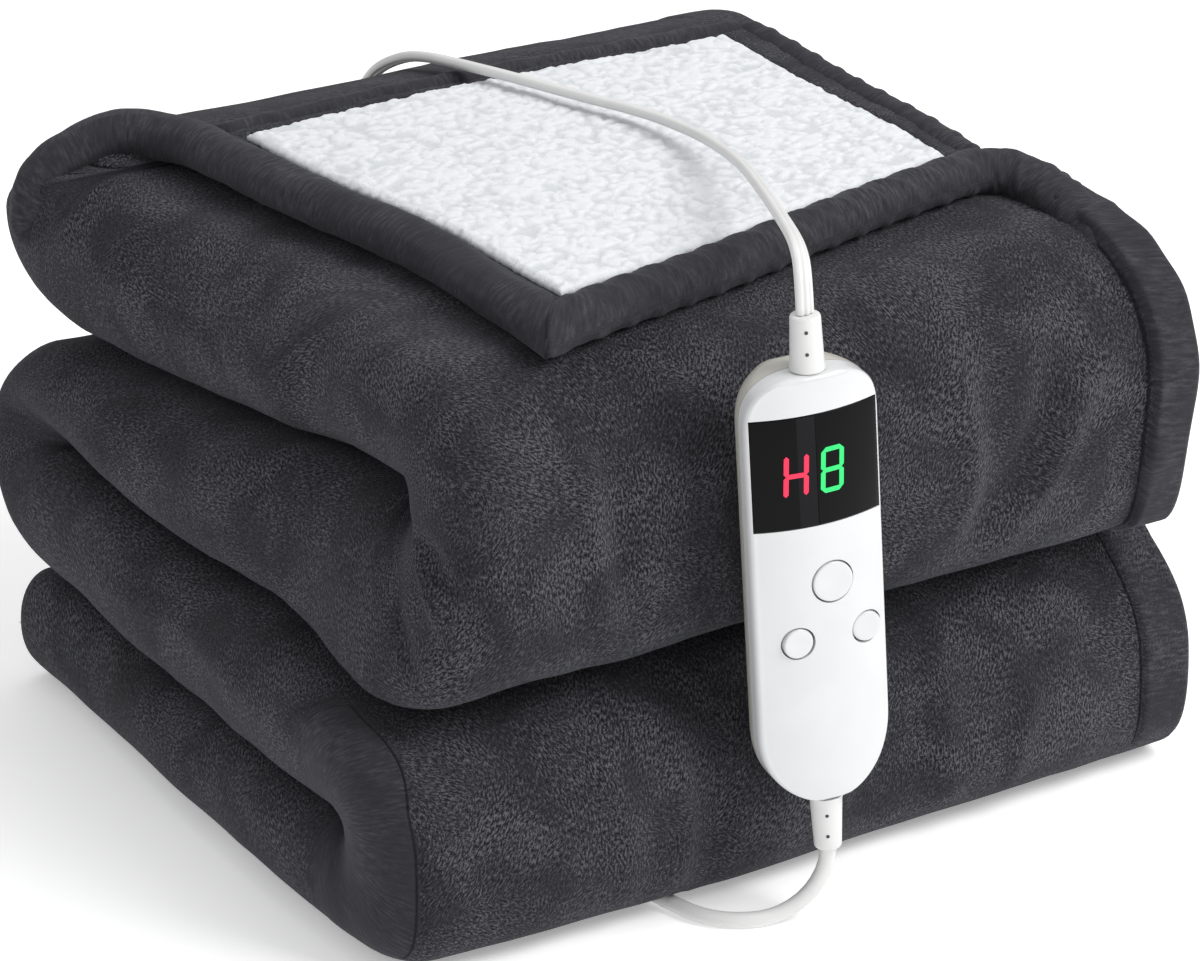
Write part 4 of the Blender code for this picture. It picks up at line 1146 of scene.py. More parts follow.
@dataclass
class HemRolls:
    """The padded hems round the turned-up flap, gathered along their length."""

    throw: FoldedThrow
    flap: list[Station] = field(default_factory=list, init=False)
    spacing: float = 1.5 * MM
    around: int = 30
    lift: float = 1.6 * MM
    from_left: float = 8.0 * MM
    from_front: float = 7.5 * MM
    from_back: float = 6.5 * MM
    rolls: tuple[Roll, ...] = (
        Roll("hem_left", (9.4 * MM, 7.8 * MM), 0.031, 0.024, 0.6, 0.050),
        Roll("hem_back", (6.2 * MM, 6.2 * MM), 0.024, 0.050, 0.9, 0.020),
        Roll("hem_right", (6.0 * MM, 6.2 * MM), 0.0150, 0.085, 1.2, 0.010),
        Roll("hem_front", (9.2 * MM, 7.8 * MM), 0.0135, 0.085, 2.4, 0.016),
    )
    # the left hem runs on over the stack's back left shoulder: centre and share of full size
    shoulder: tuple[tuple[float, float, float, float], ...] = (
        (0.0668, 0.1150, 0.2068, 1.00), (0.0602, 0.1400, 0.2078, 1.00), (0.0552, 0.1620, 0.2083, 1.00),
        (0.0518, 0.1830, 0.2082, 1.00), (0.0488, 0.2080, 0.2078, 1.00),
        (0.0468, 0.2285, 0.2074, 1.02), (0.0420, 0.2420, 0.2066, 1.04), (0.0360, 0.2490, 0.2068, 1.02),
        (0.0290, 0.2535, 0.2070, 1.00), (0.0220, 0.2560, 0.2056, 0.98), (0.0140, 0.2575, 0.2024, 0.98),
        (0.0058, 0.2585, 0.1985, 0.96), (-0.0008, 0.2585, 0.1930, 0.90), (-0.0045, 0.2590, 0.1855, 0.76),
        (-0.0055, 0.2600, 0.1765, 0.52), (-0.0035, 0.2610, 0.1680, 0.25),
    )
    # the front hem runs on into the rim of the upper fold
    corner: tuple[tuple[float, float, float, float], ...] = (
        (0.2620, 0.0770, 0.2054, 0.94), (0.2712, 0.0762, 0.2046, 0.98), (0.2782, 0.0708, 0.2032, 1.00),
        (0.2820, 0.0620, 0.2012, 1.00), (0.2838, 0.0515, 0.1988, 0.98), (0.2845, 0.0390, 0.1955, 0.92),
        (0.2848, 0.0260, 0.1905, 0.76), (0.2850, 0.0150, 0.1835, 0.50),
    )
    # the two hems that meet in the mitred corner, and how far along them the slant fades
    mitred: tuple[str, str] = ("hem_left", "hem_front")
    mitre: float = 20.0 * MM

    def flap_point(self, x_from_left: float | None, x_from_right: float | None, y: float, n: float) -> Vector:
        """Return a point of the flap.

        Args:
            x_from_left: Its distance from the flap's left end, or nothing.
            x_from_right: Its distance from the flap's right end, where the first is nothing.
            y: Its depth before the flap's slant.
            n: Its distance from the flap's middle towards the underside.

        Returns:
            The point in the stack's frame.
        """
        st = self.throw.flap_station(self.flap, y)
        x = st.left + x_from_left if x_from_left is not None else st.right - x_from_right
        return self.throw.place(st, x, n)

    def route(self, name: str) -> list[tuple[Vector, float]]:
        """Return a hem's centre line as points and shares of its full size."""
        front, back = self.throw.flap_front + self.from_front, self.throw.flap_back - self.from_back
        if name == "hem_left":
            made = [(self.flap_point(self.from_left, None, lerp(front, 0.093, k / 4), -self.lift), 1.0)
                    for k in range(5)]
            return made + [(Vector(p[:3]), p[3]) for p in self.shoulder]
        if name == "hem_back":
            width = self.flap[0].right - self.flap[0].left
            return [(self.flap_point(lerp(0.004, width - 0.008, k / 7), None, back, -self.lift), 1.0)
                    for k in range(8)]
        if name == "hem_right":
            start, stop = (7.5 * MM, back + 2 * MM), (1.0 * MM, front + 6 * MM)
            return [(self.flap_point(None, *(lerp(a, b, k / 8) for a, b in zip(start, stop)), -self.lift), 1.0)
                    for k in range(9)]
        width = self.flap[-1].right - self.flap[-1].left
        made = [(self.flap_point(lerp(self.from_left, width - 0.019, k / 8), None, front, -self.lift),
                 lerp(1.0, 0.92, k / 8)) for k in range(9)]
        return made + [(Vector(p[:3]), p[3]) for p in self.corner]

    def build(self, material: bpy.types.Material) -> list[bpy.types.Object]:
        """Build the hems.

        Args:
            material: The flannel.

        Returns:
            The pieces.
        """
        self.flap = [st for st in self.throw.stations() if st.place == "flap"]
        routes = {roll.name: self.route(roll.name) for roll in self.rolls}
        starts = [(routes[name][1][0] - routes[name][0][0]).normalized() for name in self.mitred]
        bisector = (starts[0] + starts[1]).normalized()
        made = []
        for number, roll in enumerate(self.rolls):
            route = routes[roll.name]
            path = smooth_route([p for p, _ in route], self.spacing)
            knots, travel = distances([p for p, _ in route]), distances(path)
            shares = np.interp([t / travel[-1] for t in travel], [k / knots[-1] for k in knots],
                               [share for _, share in route])
            mitred = roll.name in self.mitred
            rings = []
            for i, p in enumerate(path):
                ahead = (path[min(i + 1, len(path) - 1)] - path[max(i - 1, 0)]).normalized()
                side = ahead.cross(Vector((0, 0, 1))).normalized()
                slant = 0.0
                end = (travel[-1] - travel[i]) / (0.9 * roll.half[1])
                if mitred:
                    slant = max(1 - travel[i] / self.mitre, 0.0) * (bisector.dot(ahead) / bisector.dot(side))
                else:
                    end = min(end, travel[i] / (0.9 * roll.half[1]))
                closing = math.sqrt(max(1 - (1 - min(end, 1.0)) ** 2, 0.02))
                rings.append([p + (side + ahead * slant) * out + side.cross(ahead) * up
                              for out, up in self.cut(roll, number, travel[i], float(shares[i]) * closing)])
            bm, table = tube(rings, ("hem", "across", "edge"))
            self.map_roll(bm, table, travel, roll)
            bmesh.ops.translate(bm, vec=-ORIGIN, verts=bm.verts)
            obj = finish_mesh(roll.name, bm, material)
            made.append(obj)
        return made

    def cut(self, roll: Roll, number: int, s: float, share: float) -> list[tuple[float, float]]:
        """Return a hem's gathered outline.

        Args:
            roll: The hem.
            number: Its place in the row of hems, so that no two wrinkle alike.
            s: Distance along it.
            share: Its size there, as a share of full size.

        Returns:
            The points, as distances to the side and upwards.
        """
        drift = 1.6 * noise.noise(Vector((s / 0.030, number * 3.1, 0.5)))
        points = []
        for k in range(self.around):
            a = 2 * math.pi * k / self.around
            pucker = math.sin(2 * math.pi * s / roll.pitch + roll.lean * a + drift)
            pucker = 0.5 * pucker + 0.5 * (2 * abs(pucker) ** 0.6 - 1)
            wrinkle = noise.noise(Vector((s / 0.035, math.cos(a) * 2.6 + number, math.sin(a) * 2.6)))
            fine = noise.noise(Vector((s / 0.0042 + a * 0.8, math.cos(a) * 1.2, number + 5.0)))
            size = share * (1 + roll.depth * pucker + roll.along * 2 * wrinkle + 0.02 * fine)
            points.append((roll.half[0] * size * math.cos(a), roll.half[1] * size * math.sin(a)))
        return points

    def map_roll(self, bm: bmesh.types.BMesh, table: list, travel: list[float], roll: Roll) -> None:
        """Lay the cloth's UV map and attributes over a hem."""
        layers = bm.verts.layers.float
        girth = math.pi * (roll.half[0] + roll.half[1])
        place: dict[bmesh.types.BMVert, tuple[float, float]] = {}
        for r, row in enumerate(table):
            for c, v in enumerate(row):
                place[v] = (girth * c / self.around, travel[r])
                v[layers["hem"]] = 1.0
                v[layers["across"]] = 0.0
                v[layers["edge"]] = -self.throw.clear
        lay_map(bm, place)


@dataclass
class SherpaPanel:
    """The sherpa lining where the flap turns it up, between the flap's four hems."""

    throw: FoldedThrow
    pile: float = 3.4 * MM
    skirt: float = 1.921 * MM
    inset: float = 0.4 * MM
    columns: int = 190
    rows: int = 190
    curl: float = 3.4 * MM

    def build(self, material: bpy.types.Material) -> bpy.types.Object:
        """Build the panel with its curls.

        Args:
            material: The sherpa pile.

        Returns:
            The piece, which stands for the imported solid.
        """
        throw = self.throw
        back = throw.flap_back - throw.flap_hem_back - throw.hem_step - self.inset
        front = throw.flap_front + throw.flap_hem_front + throw.hem_step + self.inset
        flap = [st for st in throw.stations() if st.place == "flap"]
        heights: dict[tuple[int, int], float] = {}

        def at(r: int, c: int) -> Vector:
            """Return the place of the pile's surface at a row and column."""
            st = throw.flap_station(flap, lerp(front, back, r / (self.rows - 1)))
            start, stop = throw.borders(st)
            x = lerp(start + throw.hem_step + self.inset, stop - self.inset, c / (self.columns - 1))
            p = throw.place(st, x, -(st.one - st.four).length / 2)
            q = Vector((p.x / self.curl, p.y / self.curl, 0.0))
            warp = Vector((noise.noise(q * 0.5), noise.noise(q * 0.5 + Vector((9, 3, 0))), 0.0)) * 0.9
            cell = noise.voronoi(q + warp)[0][0]
            lump = 1 - min(cell / 0.75, 1.0) ** 2
            small = noise.noise(q * 2.6) * 0.35
            broad = noise.noise(q * 0.16) * 0.5
            height = min(max(0.60 * lump + 0.30 * small + 0.25 * broad + 0.16, 0.0), 1.0)
            side = min(r, c, self.rows - 1 - r, self.columns - 1 - c) / 4
            heights[(r, c)] = height
            p.z += GAP + self.pile * (0.58 + 0.42 * height) * min(0.45 + side, 1.0)
            p.x += 0.5 * MM * noise.noise(q * 1.3 + Vector((4, 4, 0)))
            p.y += 0.5 * MM * noise.noise(q * 1.3 + Vector((14, 2, 0)))
            return p

        bm, table = grid_skin(self.columns, self.rows, at, ("curl",))
        # each point's curl height, which the material also turns into painted shade in the hollows
        curl_layer = bm.verts.layers.float["curl"]
        for r, row in enumerate(table):
            for c, v in enumerate(row):
                v[curl_layer] = heights[(r, c)]
        rim = [e for e in bm.edges if e.is_boundary]
        skirt = bmesh.ops.extrude_edge_only(bm, edges=rim)["geom"]
        low = [g for g in skirt if isinstance(g, bmesh.types.BMVert)]
        for v in low:
            v.co.z -= self.skirt
        edges = [g for g in skirt if isinstance(g, bmesh.types.BMEdge) and g.is_boundary]
        face = bmesh.ops.contextual_create(bm, geom=edges)["faces"]
        bmesh.ops.triangulate(bm, faces=face)
        outward(bm)
        bmesh.ops.translate(bm, vec=-ORIGIN, verts=bm.verts)
        obj = finish_mesh("sherpa", bm, material)
        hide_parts("sherpa_panel")
        return obj


# ------------------------------------------------------------------------------ the controller
@dataclass
class Controller:
    """The hand controller: two shells, a display window, three buttons and two strain reliefs."""

    length: float = 0.152
    half: float = 0.0232
    depth: float = 0.0215
    centre: Triple = (0.1366, -0.0325, 0.1225)
    tilt: float = math.radians(3.4)
    yaw: float = math.radians(8.0)
    bow: float = 4.8 * MM
    corner: float = 16.0 * MM
    arch: float = 3.0 * MM
    foot: float = 27.0 * MM
    edge: float = 1.8 * MM
    split: float = 10.0 * MM
    back_flat: float = 0.56
    window_height: float = 0.0392
    window_top: float = 0.0130
    window_depth: float = 1.8 * MM
    window_margin: float = 1.1 * MM
    relief_behind: float = 6.5 * MM
    relief_top: Triple = (0.0185, 0.0056, 0.0050)
    relief_foot: Triple = (0.0195, 0.0054, 0.0046)
    cut_from: float = -4.0 * MM
    digit_drop: float = 20.3 * MM
    digit_slant: float = 0.05
    digit: Triple = (8.2 * MM, 15.8 * MM, 1.6 * MM)
    hole: tuple[float, float] = (0.62 * MM, 0.86 * MM)
    button_proud: float = 0.4 * MM
    button_depth: float = 3.4 * MM
    button_travel: float = 0.8 * MM
    groove: float = 0.55 * MM
    buttons: dict[str, Triple] = field(default_factory=lambda: {
        "button_power": (0.0030, 0.0730, 0.0072),
        "button_left": (-0.0096, 0.0928, 0.0054),
        "button_right": (0.0150, 0.0928, 0.0054),
    })

    def frame(self) -> Matrix:
        """Return the matrix from the controller's own frame: x across, y into it, z up."""
        turn = Matrix.Rotation(-self.yaw, 4, "Z") @ Matrix.Rotation(-self.tilt, 4, "Y")
        return Matrix.Translation(Vector(self.centre) - ORIGIN) @ turn

    def bowed(self, x: float) -> float:
        """Return how far the face lies behind its middle line at a distance x across."""
        return self.bow * (x / self.half) ** 2

    def half_width(self, z: float) -> float:
        """Return half the housing's width at a height z above its middle."""
        top = self.length / 2
        shoulder = top - self.arch - self.corner
        heel = -top + self.foot
        if z > shoulder:
            rise = min((z - shoulder) / (self.corner + self.arch), 1.0)
            return self.half - (self.half - 4.0 * MM) * (1 - math.sqrt(1 - rise ** 2.6)) ** 1.15
        if z < heel:
            fall = min((heel - z) / self.foot, 1.0)
            return max(self.half * math.sqrt(1 - fall ** 2.2), 4.0 * MM)
        return self.half

    def levels(self) -> list[float]:
        """Return the heights of the housing's cuts, close together where its ends round off."""
        top = self.length / 2
        heel = -top + self.foot
        shoulder = top - self.arch - self.corner
        foot = [heel - self.foot * math.sin(math.radians(90 - 6 * k)) for k in range(15)]
        head = [shoulder + (self.corner + self.arch) * math.sin(math.radians(6 * k)) for k in range(16)]
        straight = [lerp(heel, shoulder, k / 24) for k in range(24)]
        return foot + straight + head

    def end_round(self, z: float) -> float:
        """Return how far the face draws back at the two ends, to round their edges."""
        near = self.length / 2 - abs(z)
        return self.edge * (1 - min(near / self.edge, 1.0)) ** 2

    def front_section(self, z: float) -> list[tuple[float, float]]:
        """Return the front shell's cut at height z as (x, y)."""
        half = self.half_width(z)
        inner = half - self.edge
        drop = self.end_round(z)
        foot = self.bowed(half) + drop + self.edge
        side = [(-half, lerp(self.split - GAP / 2, foot, k / 4)) for k in range(4)]
        corner = []
        for k in range(7):
            a = math.radians(90 * k / 6)
            rise = self.edge + self.bowed(half) - self.bowed(inner)
            corner.append((-inner - self.edge * math.cos(a), foot - rise * math.sin(a)))
        face = [(x / 20 * inner, self.bowed(x / 20 * inner) + drop) for x in range(-19, 20)]
        left = side + corner
        return left + face + [(-x, y) for x, y in left[::-1]]

    def back_section(self, z: float) -> list[tuple[float, float]]:
        """Return the back shell's cut at height z as (x, y)."""
        half = self.half_width(z)
        deep = self.depth - 2.0 * self.end_round(z)
        split = self.split + GAP / 2
        points = [(half, split)]
        for k in range(1, 15):
            r = math.radians(90 * k / 14)
            points.append((half * (self.back_flat + (1 - self.back_flat) * math.cos(r)),
                           split + (deep - split) * math.sin(r)))
        return points + [(-x, y) for x, y in points[::-1]]

    def shell(self, name: str, section: Callable[[float], list[tuple[float, float]]],
              material: bpy.types.Material, node: str,
              cutters: Iterable[bmesh.types.BMesh] = ()) -> bpy.types.Object:
        """Loft a shell along the controller and cut its pockets.

        Args:
            name: The piece's name.
            section: Gives the cut at a height.
            material: Its finish.
            node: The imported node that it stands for.
            cutters: Closed meshes to cut out.

        Returns:
            The shell.
        """
        matrix = self.frame()
        bm, _ = tube([[matrix @ Vector((x, y, z)) for x, y in section(z)] for z in self.levels()])
        obj = finish_mesh(name, bm, material, soft_edges=32)
        for i, cutter in enumerate(cutters):
            self.cut(obj, cutter, f"{name}_pocket_{i}")
        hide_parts(node)
        return obj

    @staticmethod
    def cut(target: bpy.types.Object, cutter: bmesh.types.BMesh, name: str) -> None:
        """Cut a closed mesh out of target and drop the cutter."""
        mesh = bpy.data.meshes.new(name)
        outward(cutter)
        cutter.to_mesh(mesh)
        cutter.free()
        tool = link(name, mesh)
        modifier = target.modifiers.new(name, "BOOLEAN")
        modifier.operation = "DIFFERENCE"
        modifier.solver = "EXACT"
        modifier.object = tool
        bpy.context.view_layer.update()
        graph = bpy.context.evaluated_depsgraph_get()
        result = bpy.data.meshes.new_from_object(target.evaluated_get(graph))
        target.modifiers.clear()
        target.data = result
        bpy.data.objects.remove(tool)

    def window_bm(self, shrink: float, front: float, back: float, rounded: float = 0.0) -> bmesh.types.BMesh:
        """Return a slab bowed like the face.

        Args:
            shrink: How much smaller than the pocket it is.
            front: Depth of its front under the face.
            back: Depth of its back.
            rounded: Width of its rounded edge.

        Returns:
            The closed mesh.
        """
        top = self.length / 2 - self.window_top - shrink
        low = top + 2 * shrink - self.window_height
        half = self.half - self.window_margin - shrink
        bm = bmesh.new()
        add_box(bm, (2 * half, back - front, top - low))
        if rounded:
            round_edges(bm, bm.edges[:], rounded, 3)
        slice_across(bm, half, 24)
        self.lay_on_face(bm, 0.0, (front + back) / 2, (top + low) / 2)
        return bm

    def lay_on_face(self, bm: bmesh.types.BMesh, x: float, behind: float, z: float, slant: float = 0.0) -> None:
        """Move a flat mesh to its place on the bowed face and into the part's frame.

        Args:
            bm: The mesh, round the origin.
            x: Its place across the face.
            behind: How far behind the face its middle is.
            z: Its height.
            slant: How far it leans over, as a share of its height.
        """
        for v in bm.verts:
            v.co.x += x + slant * v.co.z
            v.co.y += behind + self.bowed(v.co.x)
            v.co.z += z
        bmesh.ops.transform(bm, matrix=self.frame(), verts=bm.verts)

    def disc(self, across: float, z: float, radius: float, front: float, back: float) -> bmesh.types.BMesh:
        """Return a cylinder square to the face, from depth `front` to `back`."""
        bm = bmesh.new()
        facing = Matrix.Translation((across, (front + back) / 2, z)) @ Matrix.Rotation(-math.pi / 2, 4, "X")
        bmesh.ops.create_cone(bm, cap_ends=True, segments=72, radius1=radius, radius2=radius,
                              depth=back - front, matrix=self.frame() @ facing)
        return bm

    def build_shells(self, white: bpy.types.Material, grey: bpy.types.Material) -> None:
        """Build the two shells, with the window's pocket and the buttons' wells; the back shell's grey is
        painted shade for the controller's side.
        """
        top = self.length / 2
        cutters = [self.window_bm(0.0, self.cut_from, self.window_depth)]
        for across, down, radius in self.buttons.values():
            floor = self.bowed(across) - self.button_proud + self.button_depth + self.button_travel + GAP
            cutters.append(self.disc(across, top - down, radius + GAP, self.cut_from, floor))
        self.shell("housing_front", self.front_section, white, "controller_front", cutters)
        self.shell("housing_back", self.back_section, grey, "controller_back")

    def build_window(self, black: bpy.types.Material) -> None:
        """Build the black window."""
        bm = self.window_bm(GAP * 0.6, -0.1 * MM, self.window_depth - GAP, 0.35 * MM)
        obj = finish_mesh("window", bm, black, soft_edges=40)
        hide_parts("display_window")

    def build_digits(self, red: bpy.types.Material, green: bpy.types.Material, line: bpy.types.Material,
                     painted_reflection: bpy.types.Material) -> None:
        """Build the lit characters, the window's fine upright line and a lighter band painted on the window as
        a reflection.
        """
        top = self.length / 2
        middle = top - self.window_top - self.digit_drop
        width, height, stroke = self.digit
        # each segment's place across and up, and whether it lies flat
        segments = {
            "top": (0, 1, True), "middle": (0, 0, True), "bottom": (0, -1, True),
            "upper_left": (-1, 0.5, False), "upper_right": (1, 0.5, False),
            "lower_left": (-1, -0.5, False), "lower_right": (1, -0.5, False),
        }
        digits = (
            ("character_h", -8.0 * MM, red,
             ("middle", "upper_left", "upper_right", "lower_left", "lower_right")),
            ("character_8", 4.4 * MM, green, tuple(segments)),
        )
        for name, centre, material, lit in digits:
            bm = bmesh.new()
            for key in lit:
                sx, sz, lying = segments[key]
                long = (width - stroke if lying else (height - stroke) / 2) - 0.15 * MM
                wide, tall = (long, stroke) if lying else (stroke, long)
                made = add_box(bm, (wide, 0.30 * MM, tall),
                               (sx * (width - stroke) / 2, 0, sz * (height - stroke) / 2))
                deep = [e for e in bm.edges if all(v in made for v in e.verts)
                        and abs(e.verts[0].co.y - e.verts[1].co.y) > 0.1 * MM]
                round_edges(bm, deep, 0.46 * stroke, 1)
            self.lay_on_face(bm, centre, -0.14 * MM, middle, self.digit_slant)
            finish_mesh(name, bm, material, soft_edges=40)
        tall = self.window_height - 1.0 * MM
        strips = (
            ("window_line", -0.8 * MM, 0.40 * MM, 0.16 * MM, line),
            # painted reflection: a lighter upright band on the black window
            ("window_reflection", -4.2 * MM, 6.2 * MM, 0.03 * MM, painted_reflection),
        )
        for name, centre, wide, proud, material in strips:
            bm = bmesh.new()
            add_box(bm, (wide, 0.3 * MM, tall))
            slice_across(bm, wide / 2, 6)
            self.lay_on_face(bm, centre, 0.05 * MM - proud, top - self.window_top - 0.5 * MM - tall / 2)
            finish_mesh(name, bm, material, soft_edges=40)

    def build_buttons(self, white: bpy.types.Material) -> None:
        """Build the three buttons with their dished faces, each on its own body."""
        top = self.length / 2
        into = self.frame().to_3x3() @ Vector((0, 1, 0))
        for name, (across, down, radius) in self.buttons.items():
            face = self.bowed(across) - self.button_proud
            bm = self.disc(across, top - down, radius - self.groove / 2, face, face + self.button_depth)
            centre = self.frame() @ Vector((across, face, top - down))
            front = [f for f in bm.faces
                     if len(f.verts) > 4 and (f.calc_center_median() - centre).length < 0.5 * MM]
            round_edges(bm, [e for f in front for e in f.edges], 0.55 * MM, 4)
            middle = [f for f in bm.faces if (f.calc_center_median() - centre).length < MM]
            dished = max(middle, key=lambda f: len(f.verts))
            for _ in range(2):
                inner = bmesh.ops.inset_region(bm, faces=[dished], thickness=radius * 0.3, depth=0.0)["faces"]
            moved = set(dished.verts)
            bmesh.ops.translate(bm, vec=into * 0.25 * MM, verts=list(moved))
            for v in {v for f in inner for v in f.verts} - moved:
                v.co += into * 0.12 * MM
            obj = finish_mesh(f"{name}_cap", bm, white, body=name, soft_edges=50)
            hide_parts(name)

    def build_relief(self, name: str, sign: int, size: Triple, node: str,
                     material: bpy.types.Material, dark: bpy.types.Material) -> None:
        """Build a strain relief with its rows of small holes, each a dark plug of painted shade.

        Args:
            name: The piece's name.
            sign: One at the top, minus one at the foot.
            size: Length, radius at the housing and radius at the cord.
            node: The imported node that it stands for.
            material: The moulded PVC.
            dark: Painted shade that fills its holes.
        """
        length, wide, narrow = size
        start = self.length / 2 + GAP
        matrix = self.frame() @ Matrix.Translation((0, self.relief_behind, 0))
        profile = [(wide + 0.2 * MM, 0.0), (wide + 0.2 * MM, 0.9 * MM), (wide, 1.3 * MM)]
        profile += [(lerp(wide, narrow, k / 8), lerp(1.3 * MM, length - 0.9 * MM, k / 8))
                    for k in range(1, 9)]
        profile += [(narrow - 0.25 * MM, length - 0.35 * MM), (narrow - 0.9 * MM, length)]
        bm = bmesh.new()
        chain = [bm.verts.new((r, 0, sign * (start + h))) for r, h in profile]
        edges = [bm.edges.new(pair) for pair in zip(chain, chain[1:])]
        bmesh.ops.spin(bm, geom=edges, cent=(0, 0, 0), axis=(0, 0, 1), angle=2 * math.pi, steps=40,
                       use_merge=True)
        for level in (start, start + length):
            ring = [e for e in bm.edges if e.is_boundary
                    and all(abs(abs(v.co.z) - level) < 1e-6 for v in e.verts)]
            bmesh.ops.contextual_create(bm, geom=ring)
        bmesh.ops.transform(bm, matrix=matrix, verts=bm.verts)
        outward(bm)
        obj = finish_mesh(name, bm, material, soft_edges=40)
        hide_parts(node)
        # painted shade: each hole is a dark plug standing in for the shade inside it
        holes = bmesh.new()
        for share in (0.36, 0.76) if sign > 0 else (0.30, 0.70):
            radius = lerp(wide, narrow, share)
            for k in range(4):
                turn = Matrix.Rotation(math.radians(-112 + 90 * k), 4, "Z")
                at = turn @ Vector((radius - 0.35 * MM, 0, sign * (start + share * length)))
                look = Matrix.Translation(at) @ turn @ Matrix.Rotation(math.pi / 2, 4, "Y")
                bmesh.ops.create_cone(holes, cap_ends=True, segments=16, radius1=self.hole[0],
                                      radius2=self.hole[0], depth=self.hole[1], matrix=matrix @ look)
        finish_mesh(f"{name}_holes", holes, dark, soft_edges=40)

    def relief_exit(self, sign: int, beyond: float) -> Vector:
        """Return a point on a strain relief's axis, `beyond` past its end, in the stack's frame."""
        length = self.relief_top[0] if sign > 0 else self.relief_foot[0]
        local = Vector((0.0, self.relief_behind, sign * (self.length / 2 + GAP + length + GAP + beyond)))
        return self.frame() @ local + ORIGIN


# ------------------------------------------------------------------------------ the cords
def sweep(name: str, path: Sequence[Vector], outline: Callable[[float], list[tuple[float, float]]],
          up: Vector, material: bpy.types.Material) -> bpy.types.Object:
    """Sweep an outline along a path.

    Args:
        name: The piece's name.
        path: Points in the stack's frame.
        outline: Gives the outline's (across, up) points at a share of the way along.
        up: Direction that the outline's second axis leans to at the start.
        material: The piece's finish.

    Returns:
        The closed tube.
    """
    lean = up
    rings = []
    for i, p in enumerate(path):
        ahead = (path[min(i + 1, len(path) - 1)] - path[max(i - 1, 0)]).normalized()
        lean = (lean - ahead * lean.dot(ahead)).normalized()
        side = ahead.cross(lean)
        rings.append([p - ORIGIN + side * a + lean * b for a, b in outline(i / (len(path) - 1))])
    return finish_mesh(name, tube(rings)[0], material, soft_edges=60)


@dataclass
class Lead:
    """The flexible lead from the controller's top, over the flap and down behind the stack."""

    controller: Controller
    width: float = 4.8 * MM
    relief_half: float = 3.1 * MM
    spread: float = 0.16
    route: tuple[Triple, ...] = (
        (0.1318, -0.0246, 0.2248), (0.1327, -0.0224, 0.2292), (0.1345, -0.0184, 0.2326),
        (0.1374, -0.0114, 0.2345), (0.1419, -0.0005, 0.2343), (0.1494, 0.0172, 0.2321),
        (0.1592, 0.0407, 0.2289), (0.1733, 0.0775, 0.2242), (0.1808, 0.1044, 0.2207),
        (0.1839, 0.1256, 0.2186), (0.1826, 0.1469, 0.2175), (0.1784, 0.1621, 0.2173),
        (0.1732, 0.1743, 0.2173), (0.1646, 0.1953, 0.2174), (0.1588, 0.2097, 0.2175),
        (0.1540, 0.2225, 0.2172), (0.1500, 0.2350, 0.2165), (0.1468, 0.2462, 0.2154),
        (0.1444, 0.2570, 0.2128), (0.1428, 0.2689, 0.2072), (0.1416, 0.2777, 0.2009),
        (0.1408, 0.2844, 0.1928), (0.1400, 0.2883, 0.1839), (0.1392, 0.2905, 0.1720),
        (0.1375, 0.2940, 0.1450), (0.1368, 0.2966, 0.1200), (0.1375, 0.2990, 0.0900),
        (0.1405, 0.3020, 0.0560), (0.1490, 0.3050, 0.0260), (0.1665, 0.3060, 0.0080),
        (0.1850, 0.3070, 0.0030), (0.2100, 0.3090, 0.0027), (0.2320, 0.3120, 0.0028),
        (0.2520, 0.3110, 0.0034), (0.2670, 0.3020, 0.0075), (0.2718, 0.2930, 0.0170),
        (0.2704, 0.2865, 0.0260), (0.2690, 0.2790, 0.0318), (0.2680, 0.2710, 0.0330),
    )

    def build(self, material: bpy.types.Material) -> bpy.types.Object:
        """Build the lead as three cores side by side under one skin.

        Args:
            material: Its PVC.

        Returns:
            The cord.
        """
        start = self.controller.relief_exit(1, 3 * MM)
        path = [self.controller.relief_exit(1, 0.0)] + smooth_route((tuple(start),) + self.route, 0.003)

        def outline(share: float) -> list[tuple[float, float]]:
            """Return the three cores' outline at a share of the lead's length."""
            wide = lerp(self.relief_half, self.width / 2, smooth(share / self.spread))
            points = []
            for k in range(48):
                a = 2 * math.pi * k / 48
                x = wide * math.cos(a)
                groove = math.exp(-(((abs(x) - wide / 3) / (0.12 * wide)) ** 2))
                points.append((x, self.width * 0.40 * math.copysign(abs(math.sin(a)) ** 0.8, math.sin(a))
                               * (1 - 0.30 * groove)))
            return points

        obj = sweep("lead_cord", path, outline, Vector((0, -1, 0)), material)
        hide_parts("lead")
        distances(path)[-1]
        return obj


